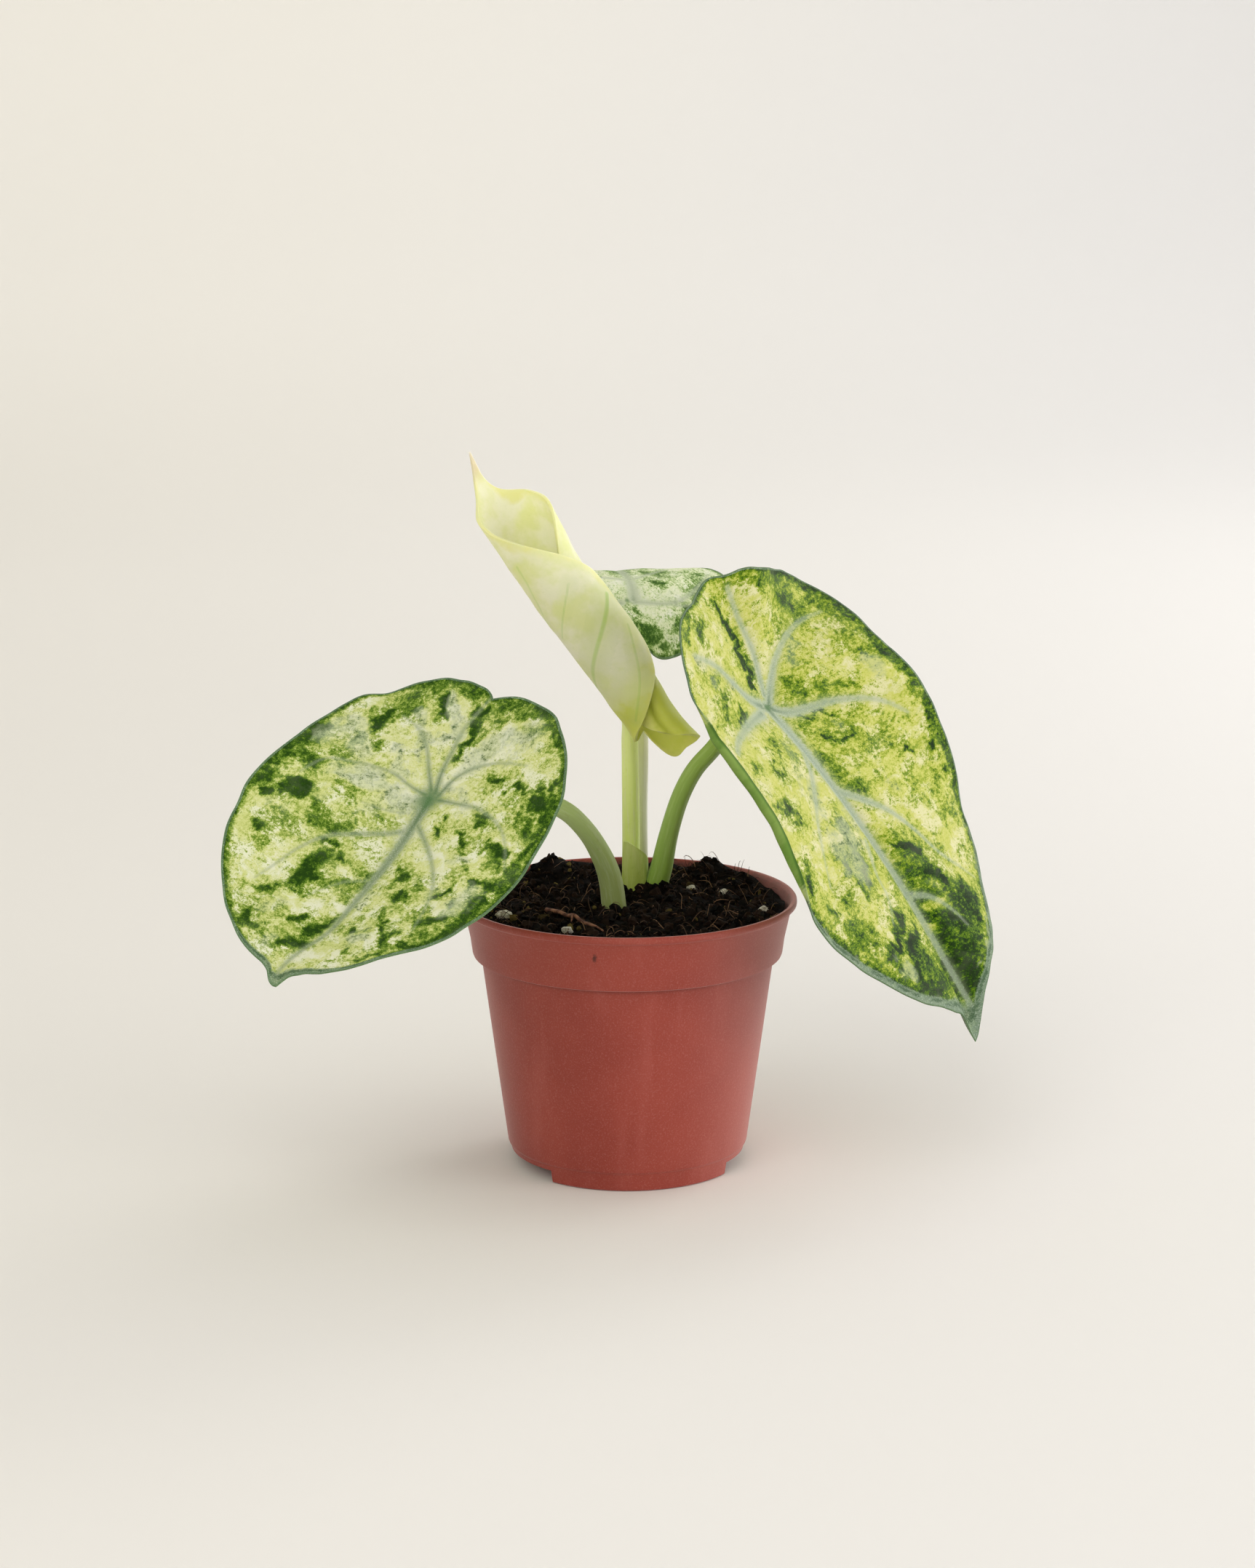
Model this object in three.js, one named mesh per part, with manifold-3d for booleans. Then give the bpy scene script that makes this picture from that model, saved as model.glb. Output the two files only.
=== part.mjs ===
// A young potted alocasia: three open shield-shaped leaves and one new leaf, still rolled,
// growing from peat in a 60 mm plastic nursery pot. Millimetres, +Z up.
// The origin is the middle of the pot's foot circle, on the surface that the pot stands on.
// The front of the plant looks along -Y, and +X is to the right of the front.

import * as THREE from 'three';
import { mergeVertices } from 'three/addons/utils/BufferGeometryUtils.js';
import Module from 'manifold-3d';

const wasm = await Module();
wasm.setup();

// Driving dimensions of the pot
const POT_HEIGHT = 48;
const RIM_RADIUS = 30;
const FOOT_RADIUS = 20.4;
const FOOT_INNER_RADIUS = 19.1;
const SEAM_HEIGHT = 3.5;
const COLLAR_HEIGHT = 37.9;
const WALL = 1.0;
const FLOOR_BOTTOM = 2.6;
const FLOOR_TOP = 3.6;
const POT_SIDES = 48;
const NOTCH_HEIGHT = 2.3;
const FRONT_FOOT = [-40, 57];
const DRAIN_RADIUS = 2.2;
const DRAIN_CIRCLE = 13;
const DRAIN_COUNT = 6;

// Driving dimensions of the soil, and the gap that keeps touching pieces apart
const GAP = 0.3;
const SOIL_LEVEL = 45.8;
const SOIL_SIDES = POT_SIDES;

// Driving dimensions of the leaves
const BLADE_THICKNESS = 0.7;
const KEEL_DEPTH = 0.8;
const KEEL_HALF_WIDTH = 1.5;
const FOLD_WIDTH = 4;
const STALK_SIDES = 12;
const SEAT_DEPTH = 0.1;

const rad = THREE.MathUtils.degToRad;
const vec = (x, y, z) => new THREE.Vector3(x, y, z);

// A smooth value at x, through values given at knots
function through(knots, values, x) {
  const last = knots.length - 1;
  let i = 0;
  while (i < last - 1 && x >= knots[i + 1]) i += 1;
  const slope = (a, b) => (values[b] - values[a]) / (knots[b] - knots[a]);
  const before = slope(Math.max(i - 1, 0), i === 0 ? 1 : i + 1);
  const after = slope(i, Math.min(i + 2, last));
  const width = knots[i + 1] - knots[i];
  const t = (x - knots[i]) / width;
  return (1 + 2 * t) * (1 - t) ** 2 * values[i] + t * (1 - t) ** 2 * width * before
    + t * t * (3 - 2 * t) * values[i + 1] + t * t * (t - 1) * width * after;
}

// Closed solids from rows of points

function closedGeometry(points, triangles) {
  const volume = triangles.reduce((sum, [a, b, c]) => (
    sum + points[a].dot(vec(0, 0, 0).crossVectors(points[b], points[c]))), 0);
  const facing = volume < 0 ? triangles.map(([a, b, c]) => [a, c, b]) : triangles;
  const geometry = new THREE.BufferGeometry();
  const flat = points.flatMap((p) => [p.x, p.y, p.z]);
  geometry.setAttribute('position', new THREE.Float32BufferAttribute(flat, 3));
  geometry.setIndex(facing.flat());
  return geometry;
}

// Rings of equal count, joined one to the next. Each end is closed by a fan of triangles, or, for
// rings that run out along one side and back along the other, by a strip between the two sides.
function loft(rings, strip = false) {
  const sides = rings[0].length;
  const points = rings.flat();
  const triangles = [];
  for (let row = 0; row + 1 < rings.length; row += 1) {
    for (let i = 0; i < sides; i += 1) {
      const j = (i + 1) % sides;
      const low = row * sides;
      triangles.push([low + i, low + j, low + sides + j], [low + i, low + sides + j, low + sides + i]);
    }
  }
  for (const [row, turn] of [[0, true], [rings.length - 1, false]]) {
    if (strip) {
      for (let i = 0; i + 1 < sides / 2; i += 1) {
        const [a, b, c, d] = [i, i + 1, sides - 2 - i, sides - 1 - i].map((k) => row * sides + k);
        triangles.push(...(turn ? [[a, c, b], [a, d, c]] : [[a, b, c], [a, c, d]]));
      }
      continue;
    }
    const middle = rings[row].reduce((sum, p) => sum.add(p), vec(0, 0, 0)).divideScalar(sides);
    points.push(middle);
    for (let i = 0; i < sides; i += 1) {
      const a = row * sides + i;
      const b = row * sides + ((i + 1) % sides);
      triangles.push(turn ? [points.length - 1, b, a] : [points.length - 1, a, b]);
    }
  }
  return closedGeometry(points, triangles);
}

// A round stalk along a smooth curve; the radius runs through the values given along it
function stalk(route, radii, steps, extra = 0) {
  const curve = new THREE.CatmullRomCurve3(route.map((p) => vec(...p)), false, 'centripetal');
  const frames = curve.computeFrenetFrames(steps, false);
  const knots = radii.map((_, i) => i / (radii.length - 1));
  const rings = [];
  for (let step = 0; step <= steps; step += 1) {
    const u = step / steps;
    const centre = curve.getPointAt(u);
    if (step === 0) centre.addScaledVector(frames.tangents[0], -extra);
    const radius = through(knots, radii, u) + extra;
    const ring = [];
    for (let i = 0; i < STALK_SIDES; i += 1) {
      const angle = (2 * Math.PI * i) / STALK_SIDES;
      ring.push(centre.clone()
        .addScaledVector(frames.normals[step], radius * Math.cos(angle))
        .addScaledVector(frames.binormals[step], radius * Math.sin(angle)));
    }
    rings.push(ring);
  }
  return loft(rings);
}

// Joining and cutting

function toSolid(geometry) {
  const bare = geometry.clone();
  bare.deleteAttribute('normal');
  bare.deleteAttribute('uv');
  const merged = mergeVertices(bare, 1e-5);
  return new wasm.Manifold(new wasm.Mesh({
    numProp: 3,
    vertProperties: new Float32Array(merged.attributes.position.array),
    triVerts: new Uint32Array(merged.index.array),
  }));
}

function toGeometry(solid) {
  const mesh = solid.getMesh();
  const geometry = new THREE.BufferGeometry();
  geometry.setAttribute('position', new THREE.Float32BufferAttribute(mesh.vertProperties, 3));
  geometry.setIndex(Array.from(mesh.triVerts));
  return geometry;
}

const cut = (body, cutters) => toGeometry(
  cutters.reduce((solid, cutter) => solid.subtract(toSolid(cutter)), toSolid(body)),
);

// The pot: one moulded cup with a deep collar, a foot ring and holes in its floor

function potBody() {
  const outer = [
    [FOOT_INNER_RADIUS, 0],
    [FOOT_RADIUS, 0],
    [FOOT_RADIUS + 0.6, SEAM_HEIGHT - 0.2],
    [FOOT_RADIUS + 0.9, SEAM_HEIGHT + 0.1],
    [25.9, COLLAR_HEIGHT - 0.9],
    [26.2, COLLAR_HEIGHT - 0.2],
    [27.3, COLLAR_HEIGHT + 0.2],
    [27.9, COLLAR_HEIGHT + 1.6],
    [29.2, POT_HEIGHT - 1.4],
    [29.9, POT_HEIGHT - 1.0],
    [RIM_RADIUS, POT_HEIGHT - 0.4],
    [RIM_RADIUS - 0.3, POT_HEIGHT],
  ];
  const inner = [
    [RIM_RADIUS - 0.9, POT_HEIGHT],
    [29.2 - WALL, POT_HEIGHT - 1.6],
    [27.9 - WALL, COLLAR_HEIGHT + 1.8],
    [25.8 - WALL, COLLAR_HEIGHT + 0.2],
    [FOOT_RADIUS + 1.0 - WALL, FLOOR_TOP + 0.9],
    [FOOT_RADIUS - WALL, FLOOR_TOP],
  ];
  const profile = [[0, FLOOR_BOTTOM], [FOOT_INNER_RADIUS - 0.3, FLOOR_BOTTOM], ...outer, ...inner,
    [0, FLOOR_TOP]];
  const lathe = new THREE.LatheGeometry(profile.map(([r, z]) => new THREE.Vector2(r, z)), POT_SIDES);
  lathe.rotateX(Math.PI / 2);
  return lathe;
}

// A wide gap in the foot ring between two angles, which are counted from the front towards +X
function footNotch(from, to) {
  const start = rad(from - 90);
  const end = rad(to - 90);
  const sector = new THREE.Shape();
  sector.absarc(0, 0, FOOT_RADIUS + 3, start, end, false);
  sector.absarc(0, 0, FOOT_INNER_RADIUS - 2, end, start, true);
  const corner = 0.8;
  const notch = new THREE.ExtrudeGeometry(sector, {
    depth: 3,
    curveSegments: 10,
    bevelThickness: corner,
    bevelSize: corner,
    bevelOffset: -corner,
    bevelSegments: 2,
  });
  notch.translate(0, 0, NOTCH_HEIGHT - 3 - corner);
  return notch;
}

function drainHole(index) {
  const hole = new THREE.CylinderGeometry(DRAIN_RADIUS, DRAIN_RADIUS, 6, 12);
  hole.rotateX(Math.PI / 2);
  const angle = (2 * Math.PI * (index + 0.5)) / DRAIN_COUNT;
  hole.translate(DRAIN_CIRCLE * Math.cos(angle), DRAIN_CIRCLE * Math.sin(angle), FLOOR_TOP);
  return hole;
}

function pot() {
  const [frontStart, frontEnd] = FRONT_FOOT;
  const notches = [footNotch(frontEnd, frontStart + 180), footNotch(frontEnd - 180, frontStart)];
  const holes = Array.from({ length: DRAIN_COUNT }, (_, index) => drainHole(index));
  return cut(potBody(), [...notches, ...holes]);
}

// Open blades. A point of a blade is given by the fraction of the way from the stalk to the
// margin and by the angle round the stalk: 0 towards the tip, 180 towards the notch.

const BLADE_ANGLES = [0, 5, 12, 25, 45, 70, 95, 120, 140, 158, 171, 180];
const BLADE_COLUMNS = [1.5, 4, 8, 13, 19, 27, 36, 47, 60, 75, 90, 105, 120, 134, 146, 156, 164, 171, 176.5];
const BLADE_ROWS = [0.14, 0.28, 0.42, 0.56, 0.7, 0.82, 0.92, 1];

// seat: where the stalk meets the blade; facing, tilt and spin: how the blade is turned, in degrees
// reach: tip to stalk; fold: steepness of the V along the midrib; arch: curl per mm of the tip half
// and of the lobes; bow, hook: sideways bend of the midrib and of the tip; waves: heights of the
// margin's waves, a cosine and a sine for 2, 3, 4 and 5 waves round the blade
// outline: distance from the stalk to the margin at each of BLADE_ANGLES
const LEFT_LEAF = {
  seat: [-33.2, -28.0, 71.6],
  facing: -23.7,
  tilt: 43.3,
  spin: -14.9,
  reach: 49,
  fold: 0.304,
  arch: [-0.008, 0.0102],
  bow: -0.7,
  hook: 4.3,
  waves: [2.35, -1.56, -0.35, 1.04, 0.55, 1.19, 0.49, -0.1],
  outline: [47.6, 42.7, 41.5, 38.5, 34.0, 27.7, 26.0, 25.6, 24.4, 23.2, 22.3, 20.4],
};
const RIGHT_LEAF = {
  seat: [24.3, -2.0, 82.2],
  facing: 62.7,
  tilt: 27.9,
  spin: 3.3,
  reach: 67.2,
  fold: 0.303,
  arch: [0.0016, 0.0037],
  bow: 10.3,
  hook: 0.2,
  waves: [4.91, 0.38, 1.84, 0.18, 2.63, -1.02, 1.83, 1.32],
  outline: [67.1, 61.2, 58.9, 55.0, 51.1, 39.6, 35.8, 34.9, 27.5, 23.4, 23.0, 21.8],
};
const BACK_LEAF = {
  seat: [0.0, 24.8, 96.8],
  facing: 8,
  tilt: 65,
  spin: 184,
  reach: 41,
  fold: -0.04,
  arch: [0.0307, 0.025],
  bow: 0,
  hook: 0,
  waves: [0, 0, 0, 0, 0, 0, 0, 0],
  outline: [40.5, 35.0, 31.0, 25.4, 20.4, 17.0, 15.0, 14.2, 14.6, 15.3, 14.5, 8.8],
  outlineRight: [40.5, 36.4, 33.4, 29.4, 25.4, 21.6, 18.4, 16.4, 15.8, 16.0, 14.7, 8.8],
};

// The blade's own directions: along the midrib to the tip, across it, and out of its upper face
function bladeAxes({ facing, tilt, spin }) {
  const out = vec(
    Math.sin(rad(facing)) * Math.cos(rad(tilt)),
    -Math.cos(rad(facing)) * Math.cos(rad(tilt)),
    Math.sin(rad(tilt)),
  );
  const downhill = vec(0, 0, -1).addScaledVector(out, out.z).normalize();
  const side = vec(0, 0, 0).crossVectors(out, downhill);
  const along = downhill.multiplyScalar(Math.cos(rad(spin))).addScaledVector(side, Math.sin(rad(spin)));
  return { along, across: vec(0, 0, 0).crossVectors(out, along), out };
}

function openBlade(leaf) {
  const { along, across, out } = bladeAxes(leaf);
  const { seat, reach, fold, arch, bow, hook, waves, outline, outlineRight = outline } = leaf;
  return (fraction, degrees) => {
    const angle = rad(degrees);
    const margin = degrees > 0 ? outline : outlineRight;
    const radius = fraction * through(BLADE_ANGLES, margin, Math.abs(degrees));
    const a = radius * Math.cos(angle);
    let s = radius * Math.sin(angle);
    let height = fold * (Math.hypot(s, FOLD_WIDTH) - FOLD_WIDTH);
    for (let i = 0; i < 4; i += 1) {
      const wave = waves[2 * i] * Math.cos((i + 2) * angle) + waves[2 * i + 1] * Math.sin((i + 2) * angle);
      height += fraction ** 2 * wave;
    }
    const u = Math.max(a, 0) / reach;
    s += 4 * bow * u * (1 - u) + hook * u ** 6;
    const curl = a > 0 ? arch[0] : arch[1];
    const turn = Math.abs(a) * curl;
    const flat = Math.abs(curl) < 1e-6;
    const forward = (flat ? Math.abs(a) : Math.sin(turn) / curl) + height * Math.sin(turn);
    const drop = (flat ? 0 : (1 - Math.cos(turn)) / curl) - height * Math.cos(turn);
    return vec(...seat)
      .addScaledVector(along, Math.sign(a) * forward)
      .addScaledVector(across, s)
      .addScaledVector(out, -drop);
  };
}

// The rolled blade: the same kind of sheet wound round a leaning line, one half inside the other

const ROLL_ANGLES = [0, 1, 2.5, 5, 10, 16, 23, 32, 45, 70, 95, 120, 140, 158, 171, 180];
const ROLL_COLUMNS = [1, 2.5, 5, 8, 12, 16, 20, 25, 30, 35, 40, 46, 52, 60, 69, 80, 92, 105, 120, 135,
  148, 160, 171];
const ROLL_ROWS = [0.1, 0.2, 0.3, 0.39, 0.48, 0.57, 0.66, 0.75, 0.83, 0.9, 0.96, 1];
const ROLL_OUTER = [50.6, 46.4, 43.6, 41.8, 40.0, 37.6, 35.2, 32.6, 29.4, 21.8, 13.9, 10.6, 9.5, 8.8,
  8.0, 7.5];
const ROLL_INNER = [50.6, 46.4, 43.6, 41.8, 40.4, 39.0, 37.2, 33.6, 29.0, 24.6, 21.8, 19.4, 17.4, 15.6,
  14.6, 7.5];
const ROLL_BASE = vec(1.4, 5.0, 84.1);
const ROLL_LEAN = 58;
const ROLL_START = -52;
const ROLL_PITCH = 1.5;
const ROLL_STATIONS = [-16, -6, 0, 8, 20, 34, 44, 52];
const ROLL_RADII = [6.0, 4.6, 4.7, 5.2, 5.3, 6.0, 6.6, 6.4];
const ROLL_SWAY = [0, 0, 0, -0.3, -1.1, -1.0, -0.2, 1.6];

const rollUp = vec(-Math.cos(rad(ROLL_LEAN)), 0, Math.sin(rad(ROLL_LEAN)));
const rollLeft = vec(-Math.sin(rad(ROLL_LEAN)), 0, -Math.cos(rad(ROLL_LEAN)));
const rollFront = vec(0, -1, 0);

function rolledBlade(fraction, degrees) {
  const outline = degrees > 0 ? ROLL_OUTER : ROLL_INNER;
  const radius = fraction * through(ROLL_ANGLES, outline, Math.abs(degrees));
  const a = radius * Math.cos(rad(degrees));
  const s = radius * Math.sin(rad(degrees));
  const core = through(ROLL_STATIONS, ROLL_RADII, a);
  const turn = s / core;
  const angle = rad(ROLL_START) + turn;
  const wound = core + (ROLL_PITCH * turn) / (2 * Math.PI);
  return ROLL_BASE.clone()
    .addScaledVector(rollUp, a)
    .addScaledVector(rollLeft, -through(ROLL_STATIONS, ROLL_SWAY, a))
    .addScaledVector(rollLeft, wound * Math.cos(angle))
    .addScaledVector(rollFront, wound * Math.sin(angle));
}

// A blade as a solid: the sheet's points moved half a thickness up and down its normals, with a
// keel under the midrib, both faces split into the same triangles
function bladeSolid(sheet, columns, rows) {
  const angles = [...columns.map((c) => -c).reverse(), 0, ...columns, 180];
  const sides = angles.length;
  const middle = [sheet(0, 0), ...rows.flatMap((row) => angles.map((angle) => sheet(row, angle)))];
  const at = (row, i) => 1 + row * sides + (i % sides);
  const face = [];
  for (let i = 0; i < sides; i += 1) {
    face.push([0, at(0, i), at(0, i + 1)]);
    for (let row = 0; row + 1 < rows.length; row += 1) {
      face.push([at(row, i), at(row + 1, i), at(row + 1, i + 1)]);
      face.push([at(row, i), at(row + 1, i + 1), at(row, i + 1)]);
    }
  }
  const normals = middle.map(() => vec(0, 0, 0));
  for (const [a, b, c] of face) {
    const edge = middle[b].clone().sub(middle[a]);
    const normal = edge.cross(middle[c].clone().sub(middle[a]));
    for (const corner of [a, b, c]) normals[corner].add(normal);
  }
  normals.forEach((normal) => normal.normalize());
  const ribs = middle.map((point, index) => {
    const angle = index === 0 ? 0 : angles[(index - 1) % sides];
    const row = index === 0 ? 0 : rows[Math.floor((index - 1) / sides)];
    const rib = sheet(row, 0);
    const away = Math.abs(angle) < 90 ? point.distanceTo(rib) : KEEL_HALF_WIDTH;
    return KEEL_DEPTH * (1 - 0.7 * row) * Math.max(0, 1 - away / KEEL_HALF_WIDTH);
  });
  const half = BLADE_THICKNESS / 2;
  const upper = middle.map((p, i) => p.clone().addScaledVector(normals[i], half));
  const lower = middle.map((p, i) => p.clone().addScaledVector(normals[i], -half - ribs[i]));
  const count = middle.length;
  const triangles = face.flatMap(([a, b, c]) => [[a, b, c], [count + a, count + c, count + b]]);
  const edgeRow = rows.length - 1;
  for (let i = 0; i < sides; i += 1) {
    const a = at(edgeRow, i);
    const b = at(edgeRow, i + 1);
    triangles.push([a, count + a, count + b], [a, count + b, b]);
  }
  return closedGeometry([...upper, ...lower], triangles);
}

const flatBlade = (each) => bladeSolid(openBlade(each), BLADE_COLUMNS, BLADE_ROWS);

// Stalks. Each rises from the soil, bows out, meets the underside of its blade square on and
// ends within the blade's thickness.

function seatRoute(leaf, route) {
  const { out } = bladeAxes(leaf);
  const end = (distance) => vec(...leaf.seat).addScaledVector(out, -distance).toArray();
  return [...route, end(7), end(SEAT_DEPTH)];
}

const LEFT_STALK = {
  route: seatRoute(LEFT_LEAF, [
    [-1.6, 0.6, 36.0],
    [-2.4, -0.5, 45.8],
    [-3.2, -1.5, 51.8],
    [-5.1, -4.0, 57.2],
    [-8.0, -8.0, 62.6],
    [-11.6, -12.0, 66.6],
    [-17.5, -16.2, 69.0],
    [-24.5, -19.4, 68.0],
  ]),
  radii: [2.3, 2.1, 1.7, 1.6, 1.5, 1.6],
  steps: 18,
};
const RIGHT_STALK = {
  route: seatRoute(RIGHT_LEAF, [
    [5.6, 8.6, 36.5],
    [5.2, 9.0, 47.6],
    [6.0, 8.6, 50.8],
    [7.4, 7.6, 57.6],
    [9.5, 6.2, 64.8],
    [11.9, 4.9, 69.8],
    [14.8, 3.2, 73.6],
  ]),
  radii: [2.2, 2.1, 1.7, 1.6, 1.5, 1.6],
  steps: 18,
};
const BACK_STALK = {
  route: seatRoute(BACK_LEAF, [
    [2.0, 13.9, 37.0],
    [2.0, 14.1, 48.0],
    [2.0, 14.4, 60.0],
    [2.2, 15.9, 74.0],
    [1.2, 19.0, 85.0],
  ]),
  radii: [1.8, 1.6, 1.5, 1.5, 1.6],
  steps: 16,
};

const rollSeat = rolledBlade(0, 0);
const rollOut = rollLeft.clone().multiplyScalar(Math.cos(rad(ROLL_START)))
  .addScaledVector(rollFront, Math.sin(rad(ROLL_START)));
const rollEnd = (distance) => rollSeat.clone().addScaledVector(rollOut, distance).toArray();
const NEW_STALK = {
  route: [
    [0.6, 9.7, 37.0],
    [0.6, 9.7, 47.6],
    [0.6, 9.8, 57.0],
    [0.5, 10.5, 66.0],
    [0.4, 11.7, 73.0],
    [0.2, 13.0, 78.0],
    rollEnd(2.6),
    rollEnd(SEAT_DEPTH),
  ],
  radii: [1.8, 1.6, 1.55, 1.5, 1.3],
  steps: 22,
};

// The pointed sheath at the foot of the right stalk, which clasps the new leaf's stalk
const SHEATH_CENTRE = [0.6, 9.7];
const SHEATH_RADIUS = 2.45;
const SHEATH_WALL = 0.7;
const SHEATH_RINGS = [
  { z: 42, from: -34, to: 100 },
  { z: 51.4, from: -30, to: 95 },
  { z: 52.6, from: -30, to: 80 },
  { z: 53.4, from: -30, to: 63 },
  { z: 54.1, from: -29, to: 46 },
  { z: 54.8, from: -28, to: 29 },
  { z: 55.5, from: -27, to: 10 },
  { z: 56.2, from: -26, to: -12 },
];

function sheath(extra = 0) {
  const spread = (extra * 180) / (Math.PI * SHEATH_RADIUS);
  const steps = 6;
  const rings = SHEATH_RINGS.map(({ z, from, to }, index) => {
    const height = z + (index === 0 ? -extra : 0) + (index === SHEATH_RINGS.length - 1 ? extra : 0);
    const [x, y] = SHEATH_CENTRE;
    const side = (radius, step) => {
      const angle = rad(from - spread + ((to - from + 2 * spread) * step) / steps - 90);
      return vec(x + radius * Math.cos(angle), y + radius * Math.sin(angle), height);
    };
    const order = Array.from({ length: steps + 1 }, (_, step) => step);
    const outside = order.map((step) => side(SHEATH_RADIUS + SHEATH_WALL / 2 + extra, step));
    const inside = order.map((step) => side(SHEATH_RADIUS - SHEATH_WALL / 2 - extra, step));
    return [...outside, ...inside.reverse()];
  });
  return loft(rings, true);
}

const stalkOf = ({ route, radii, steps }, extra = 0) => stalk(route, radii, steps, extra);

// A whole leaf: its blade, its stalk and anything else that grew with it
function leaf(blade, ...grownWith) {
  return toGeometry(grownWith.reduce((solid, each) => solid.add(toSolid(each)), toSolid(blade)));
}

// The soil: peat with clods, heaped round the stalks, with a plain hole for each stalk

function scatter(x, y) {
  const wild = Math.sin(x * 127.1 + y * 311.7) * 43758.5453;
  return wild - Math.floor(wild);
}

function lumps(x, y) {
  const column = Math.floor(x);
  const row = Math.floor(y);
  const ease = (t) => t * t * (3 - 2 * t);
  const u = ease(x - column);
  const v = ease(y - row);
  const low = scatter(column, row) * (1 - u) + scatter(column + 1, row) * u;
  const high = scatter(column, row + 1) * (1 - u) + scatter(column + 1, row + 1) * u;
  return 2 * (low * (1 - v) + high * v) - 1;
}

const HEAPS = [
  { x: 2.5, y: 10, height: 2.6, width: 6.5 },
  { x: -14, y: 21, height: 2.6, width: 4 },
  { x: 15, y: 19, height: 1.8, width: 5 },
  { x: 23, y: 4, height: -1.2, width: 7 },
];

function soilHeight(x, y) {
  const heap = HEAPS.reduce((sum, { x: hx, y: hy, height, width }) => (
    sum + height * Math.exp(-((x - hx) ** 2 + (y - hy) ** 2) / (width * width))), 0);
  return SOIL_LEVEL + heap + 0.75 * lumps(x / 5.2 + 7, y / 5.2 + 3) + 0.45 * lumps(x / 2.6, y / 2.6 + 11);
}

function soilBody() {
  const ring = (radius, height) => Array.from({ length: SOIL_SIDES }, (_, i) => {
    const angle = (2 * Math.PI * i) / SOIL_SIDES;
    const x = radius * Math.cos(angle);
    const y = radius * Math.sin(angle);
    return vec(x, y, height === undefined ? soilHeight(x, y) : height);
  });
  const wallRadius = (z) => {
    const foot = FOOT_RADIUS + 1.0 - WALL;
    const collar = 25.8 - WALL;
    const climb = (z - FLOOR_TOP - 0.9) / (COLLAR_HEIGHT - 0.7 - FLOOR_TOP);
    return foot + (collar - foot) * climb - GAP - 0.05;
  };
  const bottom = FLOOR_TOP + GAP;
  const rings = [
    ring(FOOT_RADIUS - WALL - GAP, bottom),
    ring(wallRadius(FLOOR_TOP + 0.9), FLOOR_TOP + 0.9),
    ring(wallRadius(COLLAR_HEIGHT), COLLAR_HEIGHT + 0.35),
    ring(27.9 - WALL - GAP - 0.1, COLLAR_HEIGHT + 2.2),
    ring(27.3, 44),
  ];
  for (const radius of [27.6, 25.5, 23.2, 20.9, 18.6, 16.3, 14, 11.7, 9.4, 7.1, 4.8, 2.4]) {
    rings.push(ring(radius));
  }
  return loft(rings);
}

// White perlite grains and a scrap of root, lying in the surface
const PERLITE = [
  { x: -21.6, y: -9.0, size: 1.3 },
  { x: -10.4, y: -18.4, size: 0.9 },
  { x: 11.5, y: 12.6, size: 0.8 },
  { x: 17.4, y: 11.0, size: 0.8 },
  { x: 24.0, y: -3.5, size: 0.9 },
];

function perlite({ x, y, size }, extra = 0) {
  const grain = new THREE.IcosahedronGeometry(size + extra, 0);
  grain.scale(1.15, 0.95, 0.85);
  grain.rotateZ(x + y);
  grain.translate(x, y, soilHeight(x, y) + 0.35 * size);
  return grain;
}

const ROOT_ENDS = [[-14.2, -5.5], [-4.2, -20.6]];
const ROOT_RADIUS = 0.4;

function rootScrap(extra = 0) {
  const [start, end] = ROOT_ENDS;
  const steps = 8;
  const rings = [];
  for (let step = 0; step <= steps; step += 1) {
    const reach = step === 0 ? -extra : (step === steps ? extra : 0);
    const u = step / steps + reach / 18;
    const x = start[0] + (end[0] - start[0]) * u;
    const y = start[1] + (end[1] - start[1]) * u;
    const centre = vec(x, y, soilHeight(x, y) + 0.25 + 0.5 * Math.sin(Math.PI * step / steps));
    const radius = ROOT_RADIUS + extra;
    rings.push(Array.from({ length: 6 }, (_, i) => {
      const angle = (2 * Math.PI * i) / 6;
      return centre.clone().add(vec(radius * Math.cos(angle), 0, radius * Math.sin(angle)));
    }));
  }
  return loft(rings);
}

function soil() {
  const stalks = [LEFT_STALK, RIGHT_STALK, BACK_STALK, NEW_STALK].map((each) => stalkOf(each, GAP));
  const grains = PERLITE.map((grain) => perlite(grain, 1.4 * GAP));
  return cut(soilBody(), [...stalks, sheath(GAP), ...grains, rootScrap(1.4 * GAP)]);
}

// The assembly

const finish = (color, roughness) => new THREE.MeshStandardMaterial({ color, roughness, metalness: 0 });
const terracotta = finish(0xa5483d, 0.5);
const peat = finish(0x1f1512, 0.95);
const green = finish(0x7fa04a, 0.45);
const cream = finish(0xe6e6b4, 0.5);
const white = finish(0xe9e6df, 0.9);
const rootBrown = finish(0x7a4a38, 0.8);

const plant = new THREE.Group();

function place(name, geometry, material) {
  const mesh = new THREE.Mesh(geometry, material);
  mesh.name = name;
  plant.add(mesh);
}

place('pot', pot(), terracotta);
place('soil', soil(), peat);
place('leaf_left', leaf(flatBlade(LEFT_LEAF), stalkOf(LEFT_STALK)), green);
place('leaf_right', leaf(flatBlade(RIGHT_LEAF), stalkOf(RIGHT_STALK), sheath()), green);
place('leaf_back', leaf(flatBlade(BACK_LEAF), stalkOf(BACK_STALK)), green);
place('leaf_new_rolled', leaf(bladeSolid(rolledBlade, ROLL_COLUMNS, ROLL_ROWS), stalkOf(NEW_STALK)), cream);
PERLITE.forEach((grain, index) => place(`perlite_${index + 1}`, perlite(grain), white));
place('root_scrap', rootScrap(), rootBrown);

export default plant;
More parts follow.
